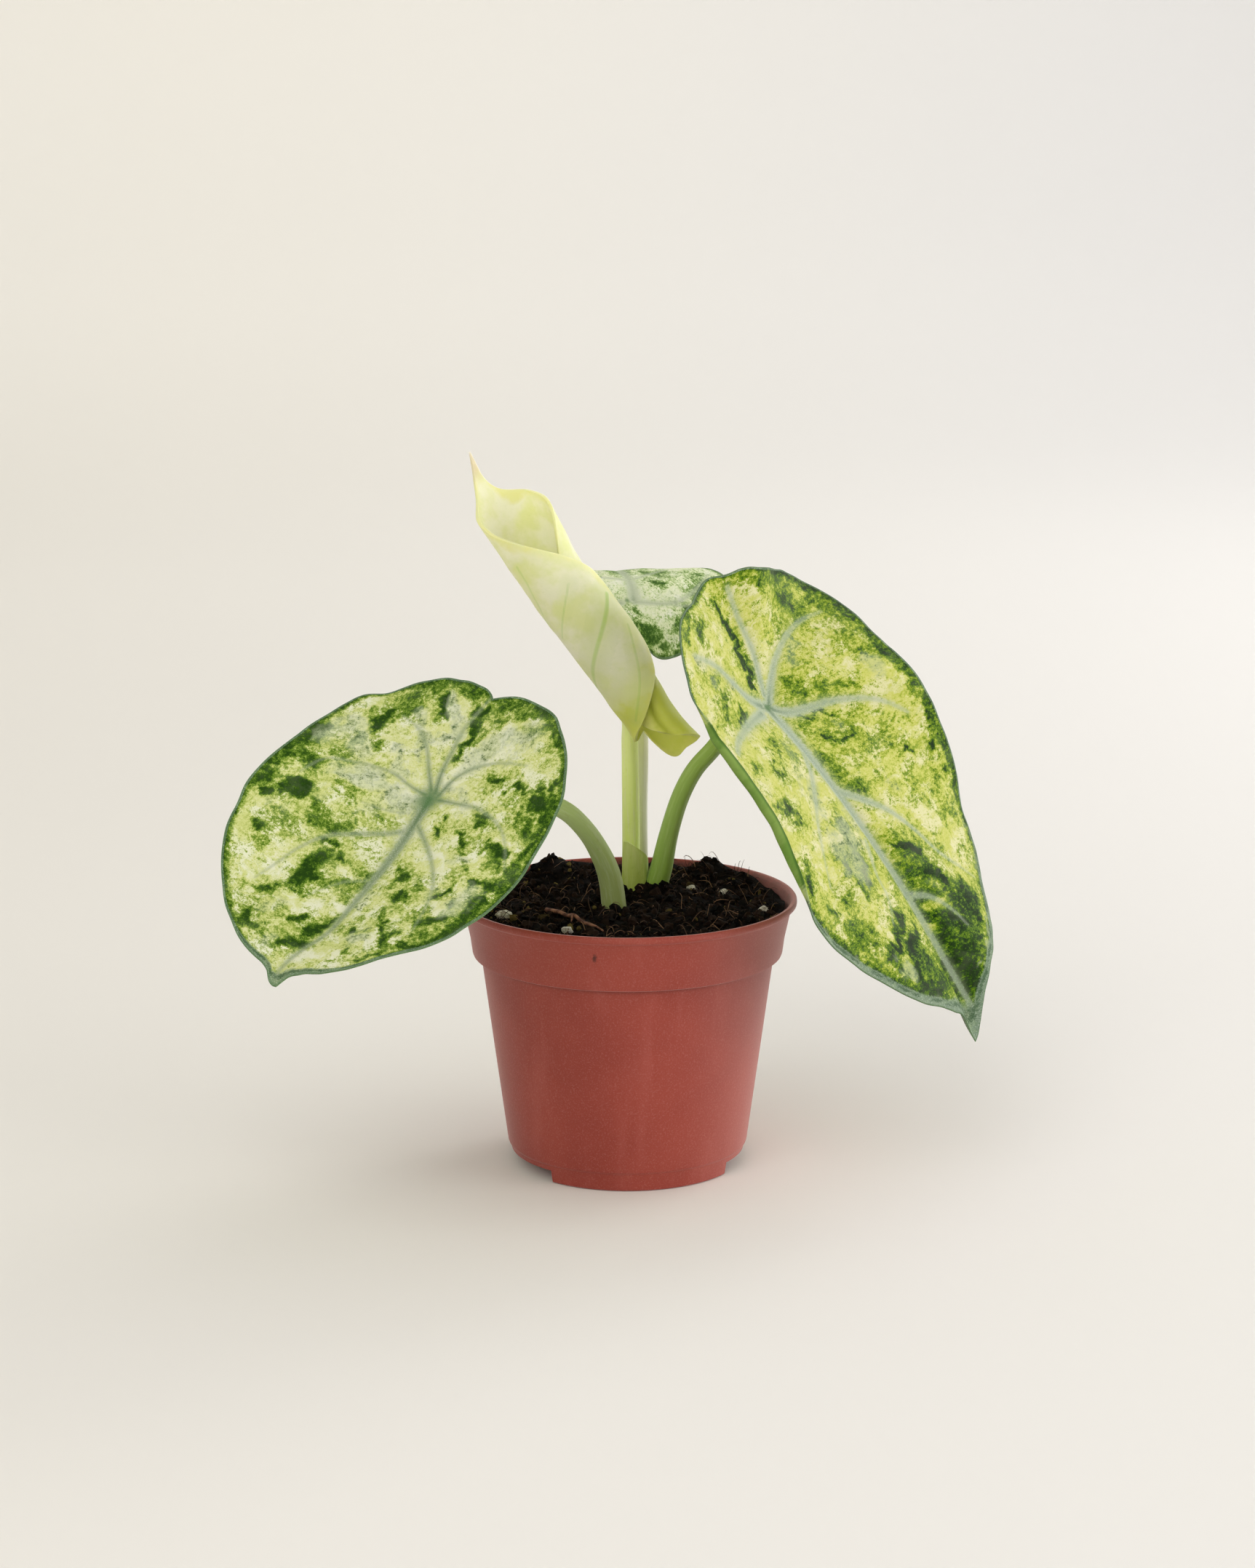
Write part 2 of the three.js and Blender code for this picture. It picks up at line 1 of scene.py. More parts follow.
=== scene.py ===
# %% [markdown]
# # A young potted alocasia
# Three open shield-shaped leaves and one leaf that is still rolled stand in a small plastic
# nursery pot of peat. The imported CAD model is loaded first, because every piece made here takes
# the place of one of its nodes and has to stay where that node is.

# %% The frame
import math

import bmesh
import bpy
import numpy as np
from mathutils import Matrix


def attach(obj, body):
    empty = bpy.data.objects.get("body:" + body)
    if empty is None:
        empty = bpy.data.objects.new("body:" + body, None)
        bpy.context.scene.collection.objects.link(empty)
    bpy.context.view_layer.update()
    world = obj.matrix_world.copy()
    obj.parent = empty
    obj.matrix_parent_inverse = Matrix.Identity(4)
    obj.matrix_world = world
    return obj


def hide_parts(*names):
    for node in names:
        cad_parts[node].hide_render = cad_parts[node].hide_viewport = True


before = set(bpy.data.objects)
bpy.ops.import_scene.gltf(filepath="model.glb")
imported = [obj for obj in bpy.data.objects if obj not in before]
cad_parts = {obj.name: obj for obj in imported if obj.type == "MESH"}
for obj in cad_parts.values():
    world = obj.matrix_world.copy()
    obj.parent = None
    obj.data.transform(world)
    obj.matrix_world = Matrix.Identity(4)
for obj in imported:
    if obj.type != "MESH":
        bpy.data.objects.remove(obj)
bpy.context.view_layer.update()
print("CAD nodes:", sorted(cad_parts))

# %% [markdown]
# ## Looking at it
# The plant is seen from a little above the rim of the pot, from about 60 cm away. A long lens
# keeps the pot's sides almost parallel, as in a product picture.

# %% Camera
MM = 0.001
AIM_HEIGHT = 68.2 * MM
AWAY = 0.6
LOOKING_DOWN = math.radians(12.1)
LENS = 78.35
SENSOR_WIDTH = 36

camera = bpy.data.objects.new("camera", bpy.data.cameras.new("camera"))
bpy.context.scene.collection.objects.link(camera)
camera.location = (0, -AWAY * math.cos(LOOKING_DOWN), AIM_HEIGHT + AWAY * math.sin(LOOKING_DOWN))
camera.rotation_euler = (math.pi / 2 - LOOKING_DOWN, 0, 0)
camera.data.lens = LENS
camera.data.sensor_width = SENSOR_WIDTH
bpy.context.scene.camera = camera
bpy.context.scene.view_settings.view_transform = "Standard"
print("camera at", [round(x, 3) for x in camera.location])

# %% [markdown]
# ## Working by hand, in code
# Each new piece starts as one of Blender's primitives. Everything is deselected first, because
# an operator acts on all that is selected.

# %% Selecting and applying
WELD = 0.002  # corners nearer than this become one, in mm


def only(*chosen):
    bpy.ops.object.select_all(action="DESELECT")
    for each in chosen:
        each.select_set(True)
    bpy.context.view_layer.objects.active = chosen[0]


def named(name):
    piece = bpy.context.object
    piece.name = piece.data.name = name
    return piece


def modify(piece, kind, **settings):
    only(piece)
    modifier = piece.modifiers.new(kind.title(), kind)
    for key, value in settings.items():
        setattr(modifier, key, value)
    bpy.ops.object.modifier_apply(modifier=modifier.name)


def edit_all(piece, **steps):
    only(piece)
    bpy.ops.object.mode_set(mode="EDIT")
    bpy.ops.mesh.select_all(action="SELECT")
    for operator, settings in steps.items():
        getattr(bpy.ops.mesh, operator)(**settings)
    bpy.ops.object.mode_set(mode="OBJECT")


def smooth_by_angle(piece, degrees):
    only(piece)
    bpy.ops.object.shade_smooth_by_angle(angle=math.radians(degrees))


def tidy_mesh(piece, smooth, weld=WELD, outward=True):
    turn_out = {"normals_make_consistent": {"inside": False}} if outward else {}
    edit_all(piece, remove_doubles={"threshold": weld * MM}, **turn_out)
    smooth_by_angle(piece, smooth)


def stand_in(piece, slot, finishes, *nodes):
    for finish in finishes:
        if finish.name not in piece.data.materials:
            piece.data.materials.append(finish)
    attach(piece, "root")
    if nodes:
        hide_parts(*nodes)
    print(piece.name, len(piece.data.polygons), "faces")


# %% [markdown]
# A grown surface, such as a blade or a stalk, has no flat side to extrude from. It starts as a
# flat grid, and each corner of the grid is then sent to its place by a formula. What the formula
# knows of a corner, such as its distance from the margin, can be kept on the mesh for the finish.

# %% A grid sent to its place
def grid_piece(name, columns, rows, place):
    bpy.ops.object.select_all(action="DESELECT")
    bpy.ops.mesh.primitive_grid_add(x_subdivisions=columns, y_subdivisions=rows, size=1)
    piece = named(name)
    corners = np.empty(len(piece.data.vertices) * 3)
    piece.data.vertices.foreach_get("co", corners)
    corners = corners.reshape(-1, 3) + 0.5
    piece.data.vertices.foreach_set("co", (place(corners[:, 0], corners[:, 1]) * MM).ravel())
    piece.data.update()
    return piece


def store(piece, kept_values):
    for name, values in kept_values.items():
        kind = "FLOAT_VECTOR" if np.ndim(values) == 2 else "FLOAT"
        layer = piece.data.attributes.new(name, kind, "POINT")
        layer.data.foreach_set("vector" if kind == "FLOAT_VECTOR" else "value", np.ravel(values))


def ease(low, high, x):
    t = np.clip((x - low) / (high - low), 0, 1)
    return t * t * (3 - 2 * t)


def bell(away, width):
    return np.exp(-(away / width) ** 2)


def through(knots, values, x):
    knots, values, x = (np.asarray(each, float) for each in (knots, values, x))
    slope = np.empty_like(values)
    slope[1:-1] = (values[2:] - values[:-2]) / (knots[2:] - knots[:-2])
    slope[0] = (values[1] - values[0]) / (knots[1] - knots[0])
    slope[-1] = (values[-1] - values[-2]) / (knots[-1] - knots[-2])
    i = np.clip(np.searchsorted(knots, x, side="right") - 1, 0, len(knots) - 2)
    width = knots[i + 1] - knots[i]
    t = (x - knots[i]) / width
    return ((1 + 2 * t) * (1 - t) ** 2 * values[i] + t * (1 - t) ** 2 * width * slope[i]
            + t * t * (3 - 2 * t) * values[i + 1] + t * t * (t - 1) * width * slope[i + 1])


# %% [markdown]
# ## Finishes
# A finish is a network of nodes, and this class holds one while it is built. Its colour starts
# as one tone. Each further tone is laid over it through a mask, which is a range of numbers
# turned into soft values from 0 to 1. Tones are red, green and blue from 0 to 255.

# %% A finish and its nodes
def paint(red, green, blue):
    return tuple(((c / 255 + 0.055) / 1.055) ** 2.4 for c in (red, green, blue)) + (1.0,)


class Finish:
    def __init__(self, name, roughness, specular, ground=None):
        self.material = bpy.data.materials.new(name)
        self.material.use_nodes = True
        self.tree = self.material.node_tree
        self.shader = self.tree.nodes["Principled BSDF"]
        self.colour = ground
        self.feed(self.shader, {"Roughness": roughness, "Specular IOR Level": specular})

    def feed(self, node, values):
        for socket, value in values.items():
            if isinstance(value, bpy.types.NodeSocket):
                self.tree.links.new(value, node.inputs[socket])
            else:
                node.inputs[socket].default_value = value

    def add(self, kind, values, **settings):
        node = self.tree.nodes.new("ShaderNode" + kind)
        for key, value in settings.items():
            setattr(node, key, value)
        self.feed(node, values)
        return node.outputs

    def spot(self):
        return self.add("TexCoord", {})["Object"]

    def kept(self, name):
        return self.add("Attribute", {}, attribute_name=name)[2]

    def kept_place(self, name):
        return self.add("Attribute", {}, attribute_name=name)[1]

    def scaled(self, place, *scale):
        return self.add("Mapping", {"Vector": place, "Scale": scale})[0]

    def vector(self, operation, values, output=0):
        return self.add("VectorMath", values, operation=operation)[output]

    def noise(self, place, scale, detail=3.0, rough=0.55, twist=0.0, output=0):
        return self.add("TexNoise", {"Vector": place, "Scale": scale, "Detail": detail,
                                     "Roughness": rough, "Distortion": twist})[output]

    def calc(self, operation, first, *others):
        for other in others:
            first = self.add("Math", {0: first, 1: other}, operation=operation)[0]
        return first

    def total(self, *values):
        return self.calc("ADD", *values)

    def product(self, *values):
        return self.calc("MULTIPLY", *values)

    def centred(self, value, strength):
        return self.product(self.calc("SUBTRACT", value, 0.5), strength)

    def span(self, value, low, high, first, last):
        return self.add("MapRange", {0: value, 1: low, 2: high, 3: first, 4: last})[0]

    def mask(self, value, low, high, top=1.0):
        return self.add("MapRange", {0: value, 1: low, 2: high, 3: 0.0, 4: top},
                        interpolation_type="SMOOTHSTEP")[0]

    def blend(self, mask, first, second):
        first, second = (paint(*tone) if isinstance(tone, tuple) and len(tone) == 3 else tone
                         for tone in (first, second))
        return self.add("Mix", {0: mask, 6: first, 7: second}, data_type="RGBA")[2]

    def lay(self, tone, mask):
        self.colour = self.blend(mask, self.colour, tone)

    def over(self, tone, value, low, high, top=1.0):
        self.lay(tone, self.mask(value, low, high, top))

    def done(self, height, strength, distance):
        bump = self.add("Bump", {"Height": height, "Strength": strength, "Distance": distance})[0]
        self.feed(self.shader, {"Base Color": self.colour, "Normal": bump})
        return self.material


# %% [markdown]
# Peat, roots and perlite are all finished alike: noises of several sizes, or a value kept on the
# mesh, lay a few tones over each other, and one more noise gives the grain.

# %% A rough finish
def rough_finish(name, roughness, specular, ground, layers, grain, strength, distance):
    rough = Finish(name, roughness, specular, ground)
    spot = rough.spot()
    for tone, source, *limits in layers:
        value = rough.kept(source) if isinstance(source, str) else rough.noise(spot, *source)
        rough.over(tone, value, *limits)
    return rough.done(rough.noise(spot, *grain), strength, distance)


# %% [markdown]
# ## Floor and light
# The floor runs up into a round wall with no corner, so every view has the same pale ground. It
# throws no shadow, so the light of the surroundings comes through it.

# %% Stage
STAGE_KNOTS = [0, 0.3, 0.55, 0.8, 1]
STAGE_RADII = [0, 700, 1300, 1560, 1640]
STAGE_HEIGHTS = [0, 0, 60, 520, 1900]


def stage_profile(across, up):
    turn = across * 2 * math.pi
    radius = through(STAGE_KNOTS, STAGE_RADII, up)
    height = through(STAGE_KNOTS, STAGE_HEIGHTS, up)
    return np.stack([radius * np.cos(turn), radius * np.sin(turn), height], axis=1)


ground = grid_piece("stage_floor", 96, 60, stage_profile)
tidy_mesh(ground, smooth=180, outward=False)
paper = Finish("plain_paper", 0.9, 0.1, (240, 237, 229))
# painted light and shade: the paper is warmer to the left and more neutral to the right
paper.over((238, 237, 236), paper.add("SeparateXYZ", {0: paper.spot()})[0], -0.3, 0.4)
paper.feed(paper.shader, {"Base Color": paper.colour})
ground.data.materials.append(paper.material)
ground.visible_shadow = False

# %% [markdown]
# Daylight in a bright room is soft and comes from all round. Four lamps at the right and back
# draw light edges on leaves and pot, a big one in front opens the shade, and one lights the wall.

# %% Lights
WARM = (1.0, 0.985, 0.96)


def soft_light(name, place, aim, size, power, colour):
    lamp = bpy.data.objects.new(name, bpy.data.lights.new(name, "AREA"))
    bpy.context.scene.collection.objects.link(lamp)
    lamp.data.shape = "DISK"
    lamp.data.size = size
    lamp.data.energy = power
    lamp.data.color = colour
    lamp.location = place
    away = np.array(place) - np.array(aim)
    tilt = math.atan2(math.hypot(away[0], away[1]), away[2])
    lamp.rotation_euler = (tilt, 0, math.atan2(away[1], away[0]) + math.pi / 2)


soft_light("low_right", (0.85, -0.35, 0.2), (0, 0, 0.06), 0.5, 2.5, WARM)
soft_light("side", (0.95, 0.0, 0.35), (0, 0, 0.06), 0.6, 1.2, WARM)
soft_light("edge", (0.75, 0.45, 0.24), (0, 0, 0.04), 0.5, 1.3, (1.0, 0.98, 0.97))
soft_light("back_right", (0.8, 0.8, 0.6), (0, 0, 0.06), 0.6, 2.7, WARM)
soft_light("front_left", (-0.4, -0.8, 0.8), (0, 0, 0.06), 1.1, 4.6, (1.0, 0.99, 0.98))
soft_light("backdrop", (0.0, 1.0, 1.0), (0, 1.7, 0.3), 0.8, 2.0, (0.98, 0.99, 1.0))
world = bpy.context.scene.world or bpy.data.worlds.new("world")
bpy.context.scene.world = world
world.use_nodes = True
world.node_tree.nodes["Background"].inputs["Color"].default_value = (1.0, 0.99, 0.985, 1)
world.node_tree.nodes["Background"].inputs["Strength"].default_value = 0.58

# %% [markdown]
# ## The pot
# The real pot is moulded plastic: one thin wall, a deep collar that lets pots stack, a foot ring
# with two wide gaps and holes in the floor. It could be spun from a profile. Here a circle is
# extruded and resized ring by ring, which shows each step of the profile.

# %% Rings of the pot
POT_SIDES = 144
OUTSIDE = [(18.8, 2.6), (19.1, 2.2), (19.2, 0.15), (19.4, 0), (20.2, 0), (20.45, 0.2), (20.95, 3.1),
           (21.05, 3.3), (21.3, 3.5), (21.4, 3.8), (23.6, 20), (25.85, 36.8), (25.9, 37.3),
           (26.1, 37.6), (26.9, 37.8), (27.35, 38.0), (27.5, 38.4), (27.85, 41), (29.0, 46.3),
           (29.15, 46.5), (29.7, 46.75), (29.95, 47.0), (30.0, 47.3), (29.95, 47.75), (29.75, 48.0)]
INSIDE = [(29.4, 48.0), (29.1, 47.85), (28.75, 47.2), (28.2, 45), (27.0, 40), (26.6, 39),
          (25.2, 38.4),
          (24.9, 37.6), (22.6, 20), (20.4, 4.5), (20.0, 3.8), (19.4, 3.6)]


def lathe_rings(name, rings, sides):
    radius, height = rings[0]
    bpy.ops.object.select_all(action="DESELECT")
    bpy.ops.mesh.primitive_circle_add(vertices=sides, radius=radius * MM, fill_type="NGON",
                                      location=(0, 0, height * MM))
    piece = named(name)
    bpy.ops.object.transform_apply(location=True)
    bpy.ops.object.mode_set(mode="EDIT")
    bpy.ops.mesh.select_mode(type="EDGE")
    for (radius, height), (wider, higher) in zip(rings, rings[1:]):
        bpy.ops.mesh.select_all(action="DESELECT")
        mesh = bmesh.from_edit_mesh(piece.data)
        for edge in mesh.edges:
            edge.select = all(abs(v.co.z - height * MM) < 1e-7
                              and abs(math.hypot(v.co.x, v.co.y) - radius * MM) < 1e-6
                              for v in edge.verts)
        bmesh.update_edit_mesh(piece.data)
        rise = (0, 0, (higher - height) * MM)
        bpy.ops.mesh.extrude_edges_move(TRANSFORM_OT_translate={"value": rise})
        size = wider / radius
        bpy.ops.transform.resize(value=(size, size, 1))
    bpy.ops.mesh.edge_face_add()
    bpy.ops.mesh.select_mode(type="VERT")
    bpy.ops.object.mode_set(mode="OBJECT")
    return piece


pot = lathe_rings("nursery_pot", OUTSIDE + INSIDE, POT_SIDES)
print("pot rings:", len(OUTSIDE + INSIDE))

# %% [markdown]
# The gaps in the foot and the drain holes are cut with the Boolean modifier, as a punch would.

# %% Gaps and holes
FOOT_GAPS = ((57, 140), (-123, -40))  # degrees from the front towards the right
GAP_LOOP = np.array([(18.3, -1), (22, -1), (22, 1.7), (21.4, 2.3), (18.9, 2.3), (18.3, 1.7),
                     (18.3, -1)])
DRAIN_COUNT, DRAIN_CIRCLE, DRAIN_RADIUS, DRAIN_MIDDLE, PUNCH_LENGTH = 6, 13, 2.2, 3, 4


def cut_away(piece, tool):
    modify(piece, "BOOLEAN", operation="DIFFERENCE", solver="EXACT", object=tool)
    bpy.data.objects.remove(tool)


def foot_gap(start, end):
    def place(across, up):
        turn = np.radians(start + (end - start) * across - 90)
        radius, height = (np.interp(up, np.linspace(0, 1, len(GAP_LOOP)), GAP_LOOP[:, k])
                          for k in (0, 1))
        return np.stack([radius * np.cos(turn), radius * np.sin(turn), height], axis=1)

    gap = grid_piece("gap", 40, len(GAP_LOOP) - 1, place)
    edit_all(gap, remove_doubles={"threshold": 0.001 * MM}, fill_holes={"sides": 0},
             normals_make_consistent={"inside": False})
    return gap


for start, end in FOOT_GAPS:
    cut_away(pot, foot_gap(start, end))
for index in range(DRAIN_COUNT):
    angle = math.radians(360 * (index + 0.5) / DRAIN_COUNT)
    at = (DRAIN_CIRCLE * MM * math.cos(angle), DRAIN_CIRCLE * MM * math.sin(angle),
          DRAIN_MIDDLE * MM)
    bpy.ops.object.select_all(action="DESELECT")
    bpy.ops.mesh.primitive_cylinder_add(vertices=32, radius=DRAIN_RADIUS * MM,
                                        depth=PUNCH_LENGTH * MM, location=at)
    cut_away(pot, named("punch"))
tidy_mesh(pot, smooth=38)

# %% [markdown]
# Terracotta-coloured polypropylene is matt with a very fine grain. Its colour is a little uneven
# from the mould. Painted shade darkens the crease under the collar, and the wall inside darkens
# near the peat, partly from peat soiling it and partly painted shade.
# One dark speck sits on the front. A painted highlight makes the right side paler, and painted
# shade makes the left side deeper.

# %% Pot plastic
plastic = Finish("terracotta_plastic", 0.5, 0.32, (145, 58, 46))
spot = plastic.spot()
across_pot, _, upward = plastic.add("SeparateXYZ", {0: spot})
outward = plastic.vector("LENGTH", {0: plastic.scaled(spot, 1, 1, 0)}, 1)
streaks = plastic.noise(plastic.scaled(spot, 1, 1, 0.12), 160, 4, 0.6)
grain = plastic.noise(spot, 3600, 2, 0.6)
plastic.over((154, 65, 52), plastic.noise(spot, 45, 3), 0.35, 0.65)
plastic.over((172, 88, 78), streaks, 0.52, 0.75, 0.35)
plastic.over((196, 120, 108), grain, 0.5, 0.72, 0.22)
# painted shade: a dark band in the crease just under the collar
plastic.lay((98, 38, 30), plastic.product(plastic.mask(upward, 0.0368, 0.0377, 0.5),
                                          plastic.mask(outward, 0.0272, 0.0267)))
# the wall inside darkens near the peat: partly peat soiling, partly painted shade
inner = plastic.total(outward, plastic.product(upward, -0.25))
soiled_and_shaded_line = plastic.total(upward, plastic.centred(plastic.noise(spot, 300, 4, 0.7), 0.004))
plastic.lay((54, 24, 18), plastic.product(plastic.mask(inner, 0.0173, 0.01715),
                                          plastic.mask(soiled_and_shaded_line, 0.0484, 0.0466, 0.85),
                                          plastic.mask(upward, 0.0390, 0.0396)))
from_speck = plastic.vector("DISTANCE", {0: plastic.scaled(spot, 1, 1, 0.55),
                                         1: (-0.0056, -0.0281, 0.0240)}, 1)
from_speck = plastic.total(from_speck, plastic.centred(plastic.noise(spot, 1600, 3), 0.0008))
plastic.over((66, 26, 20), from_speck, 0.0006, 0.0003, 0.85)
# painted highlight on the right side and painted shade on the left side
plastic.over((212, 150, 146), across_pot, 0.008, 0.031, 0.3)
plastic.over((96, 38, 30), across_pot, -0.016, -0.031, 0.22)
plastic.feed(plastic.shader, {
    "Coat Weight": plastic.mask(grain, 0.3, 0.7, 0.16), "Coat Roughness": 0.5,
    "Sheen Weight": 0.38, "Sheen Roughness": 0.35, "Sheen Tint": paint(255, 214, 214)})
stand_in(pot, "pot", [plastic.done(grain, 0.25, 0.0001)], "pot")

# %% [markdown]
# ## The peat
# Peat fills the pot up to just under the rim. Its top is heaped where the stalks come out and
# banked against the wall at the back and right. Finer and finer lumps are laid over that.

# %% Heights of the peat
PEAT_LEVEL = 45.8
PEAT_RADIUS = 27.9
PEAT_SIDE = [(0, 3.9), (19, 3.9), (20.0, 4.6), (24.4, 37.6), (26.3, 40.1), (27.35, 43.6)]
SIDE_SHARE = 0.12  # the part of the grid's rows that the side takes, under the top
HEAPS = [(2.5, 10, 2.6, 6.5), (-14, 21, 2.6, 4), (15, 19, 1.8, 5), (23, 4, -1.2, 7)]


def scatter(x, y):
    wild = np.sin(x * 127.1 + y * 311.7) * 43758.5453
    return wild - np.floor(wild)


def lumps(x, y):
    column, row = np.floor(x), np.floor(y)
    u, v = (t * t * (3 - 2 * t) for t in (x - column, y - row))
    low = scatter(column, row) * (1 - u) + scatter(column + 1, row) * u
    high = scatter(column, row + 1) * (1 - u) + scatter(column + 1, row + 1) * u
    return 2 * (low * (1 - v) + high * v) - 1


def peat_height(x, y):
    bank = bell(np.hypot(x, y) - 27.5, 4.5) * np.clip(0.25 + 0.028 * y + 0.018 * x, 0, 1)
    heap = 1.5 * bank + sum(h * np.exp(-((x - hx) ** 2 + (y - hy) ** 2) / w ** 2)
                            for hx, hy, h, w in HEAPS)
    return (PEAT_LEVEL + heap + 0.75 * lumps(x / 5.2 + 7, y / 5.2 + 3)
            + 0.45 * lumps(x / 2.6, y / 2.6 + 11))


def peat_place(across, up):
    turn = 2 * math.pi * across
    knots = np.linspace(0, SIDE_SHARE, len(PEAT_SIDE))
    side_radius, side_height = (np.interp(up, knots, column) for column in zip(*PEAT_SIDE))
    radius = np.where(up < SIDE_SHARE, side_radius, PEAT_RADIUS * (1 - up) / (1 - SIDE_SHARE))
    x, y = radius * np.cos(turn), radius * np.sin(turn)
    fine = 0.3 * lumps(x / 1.1 + 5, y / 1.1) + 0.16 * lumps(x / 0.55, y / 0.55 + 9)
    top = peat_height(x, y) + fine * ease(SIDE_SHARE, SIDE_SHARE + 0.03, up)
    return np.stack([x, y, np.where(up < SIDE_SHARE, side_height, top)], axis=1)


peat = grid_piece("peat", 240, 150, peat_place)
tidy_mesh(peat, smooth=80)

# %% [markdown]
# Moist peat is nearly black, with browner, drier places where the noise runs high.

# %% Peat finish
earth = rough_finish("moist_peat", 0.9, 0.1, (8, 6, 5), [
    ((28, 20, 15), (500, 6, 0.7), 0.42, 0.66),
    ((56, 40, 30), (1500, 4, 0.7), 0.58, 0.74, 0.5)], (1800, 6, 0.75), 0.9, 0.0006)
stand_in(peat, "soil", [earth], "soil")

# %% [markdown]
# Loose crumbs make peat read as peat. Eight crumbs are dented from a low ball, and then
# copied, turned and resized into one mesh. A big crumb has 80 faces and a small one 20.

# %% Loose crumbs
CRUMB_COUNT, BIG_CRUMBS, KINDS = 3000, 260, 4
rng = np.random.default_rng(7)


def crumb_shape(divisions, rough):
    bpy.ops.object.select_all(action="DESELECT")
    bpy.ops.mesh.primitive_ico_sphere_add(subdivisions=divisions, radius=1)
    ball = bpy.context.object
    corners = np.array([v.co for v in ball.data.vertices])
    faces = [tuple(p.vertices) for p in ball.data.polygons]
    bpy.data.objects.remove(ball)
    corners *= (1 + rough * rng.standard_normal(len(corners)))[:, None]
    return corners, faces


def random_turn():
    q = rng.standard_normal(4)
    w, x, y, z = q / np.linalg.norm(q)
    return np.array([[1 - 2 * (y * y + z * z), 2 * (x * y - z * w), 2 * (x * z + y * w)],
                     [2 * (x * y + z * w), 1 - 2 * (x * x + z * z), 2 * (y * z - x * w)],
                     [2 * (x * z - y * w), 2 * (y * z + x * w), 1 - 2 * (x * x + y * y)]])


def gather(name, shapes):
    corners, faces, count = [], [], 0
    for points, sides in shapes:
        corners.append(points)
        faces += [tuple(i + count for i in side) for side in sides]
        count += len(points)
    mesh = bpy.data.meshes.new(name)
    mesh.from_pydata((np.concatenate(corners) * MM).tolist(), [], faces)
    piece = bpy.data.objects.new(name, mesh)
    bpy.context.scene.collection.objects.link(piece)
    return piece


crumb_kinds = ([crumb_shape(2, 0.22) for _ in range(KINDS)]
               + [crumb_shape(1, 0.28) for _ in range(KINDS)])
crumbs, tints = [], []
for index in range(CRUMB_COUNT):
    big = index < BIG_CRUMBS
    size = rng.uniform(0.6, 1.3) if big else 0.22 + 0.5 * rng.random() ** 2
    radius = (26.9 - 0.9 * size) * math.sqrt(rng.random())
    turn = rng.uniform(0, 2 * math.pi)
    x, y = radius * math.cos(turn), radius * math.sin(turn)
    points, sides = crumb_kinds[rng.integers(KINDS) if big else KINDS + rng.integers(KINDS)]
    stretch = size * np.array([1.0, rng.uniform(0.6, 1.0), rng.uniform(0.45, 0.9)])
    placed = (points * stretch) @ random_turn().T
    placed = placed + [x, y, float(peat_height(x, y)) + 0.25 * size]
    crumbs.append((placed, sides))
    tints += [rng.random()] * len(placed)
loose = gather("peat_crumbs", crumbs)
store(loose, {"tint": np.array(tints)})
tidy_mesh(loose, smooth=38, weld=0, outward=False)

# %% [markdown]
# The tint of a crumb is drawn once for all of it. A few crumbs are bits of dry, yellowish moss.

# %% Crumb finish
crumbly = rough_finish("peat_crumb", 0.9, 0.12, (6, 5, 4), [
    ((46, 32, 24), "tint", 0.25, 1.0), ((116, 102, 52), "tint", 0.955, 0.975, 0.85),
    ((68, 49, 36), (1700, 4, 0.7), 0.52, 0.7, 0.5)], (2600, 5, 0.7), 0.8, 0.0004)
stand_in(loose, "soil", [crumbly], "soil")

# %% [markdown]
# ## Fibres in the peat
# Fine roots and moss fibres stick out of the peat. Each is a thin tube that follows a curl.

# %% A thin tube along points
def smooth_path(points, count):
    points = np.asarray(points, float)
    steps = np.linalg.norm(np.diff(points, axis=0), axis=1) ** 0.5
    knots = np.concatenate([[0], np.cumsum(steps)])
    first, last = 2 * points[0] - points[1], 2 * points[-1] - points[-2]
    full = np.vstack([first, points, last])
    full_knots = np.concatenate([[-steps[0]], knots, [knots[-1] + steps[-1]]])
    out = []
    for x in np.linspace(0, knots[-1], count * 8):
        i = min(max(int(np.searchsorted(knots, x, side="right")) - 1, 0), len(points) - 2)
        p, t = full[i:i + 4], full_knots[i:i + 4]
        a = [(t[k + 1] - x) / (t[k + 1] - t[k]) * p[k] + (x - t[k]) / (t[k + 1] - t[k]) * p[k + 1]
             for k in range(3)]
        b = [(t[k + 2] - x) / (t[k + 2] - t[k]) * a[k] + (x - t[k]) / (t[k + 2] - t[k]) * a[k + 1]
             for k in range(2)]
        out.append((t[2] - x) / (t[2] - t[1]) * b[0] + (x - t[1]) / (t[2] - t[1]) * b[1])
    out = np.array(out)
    run = np.concatenate([[0], np.cumsum(np.linalg.norm(np.diff(out, axis=0), axis=1))])
    even = np.linspace(0, run[-1], count)
    return np.stack([np.interp(even, run, out[:, k]) for k in range(3)], axis=1), run[-1]


def frames_along(path):
    ahead = np.gradient(path, axis=0)
    ahead /= np.linalg.norm(ahead, axis=1)[:, None]
    start = np.cross(ahead[0], [0.31, 0.95, 0.02])
    sides = [start / np.linalg.norm(start)]
    for way in ahead[1:]:
        side = sides[-1] - way * np.dot(sides[-1], way)
        sides.append(side / np.linalg.norm(side))
    sides = np.array(sides)
    return sides, np.cross(ahead, sides)


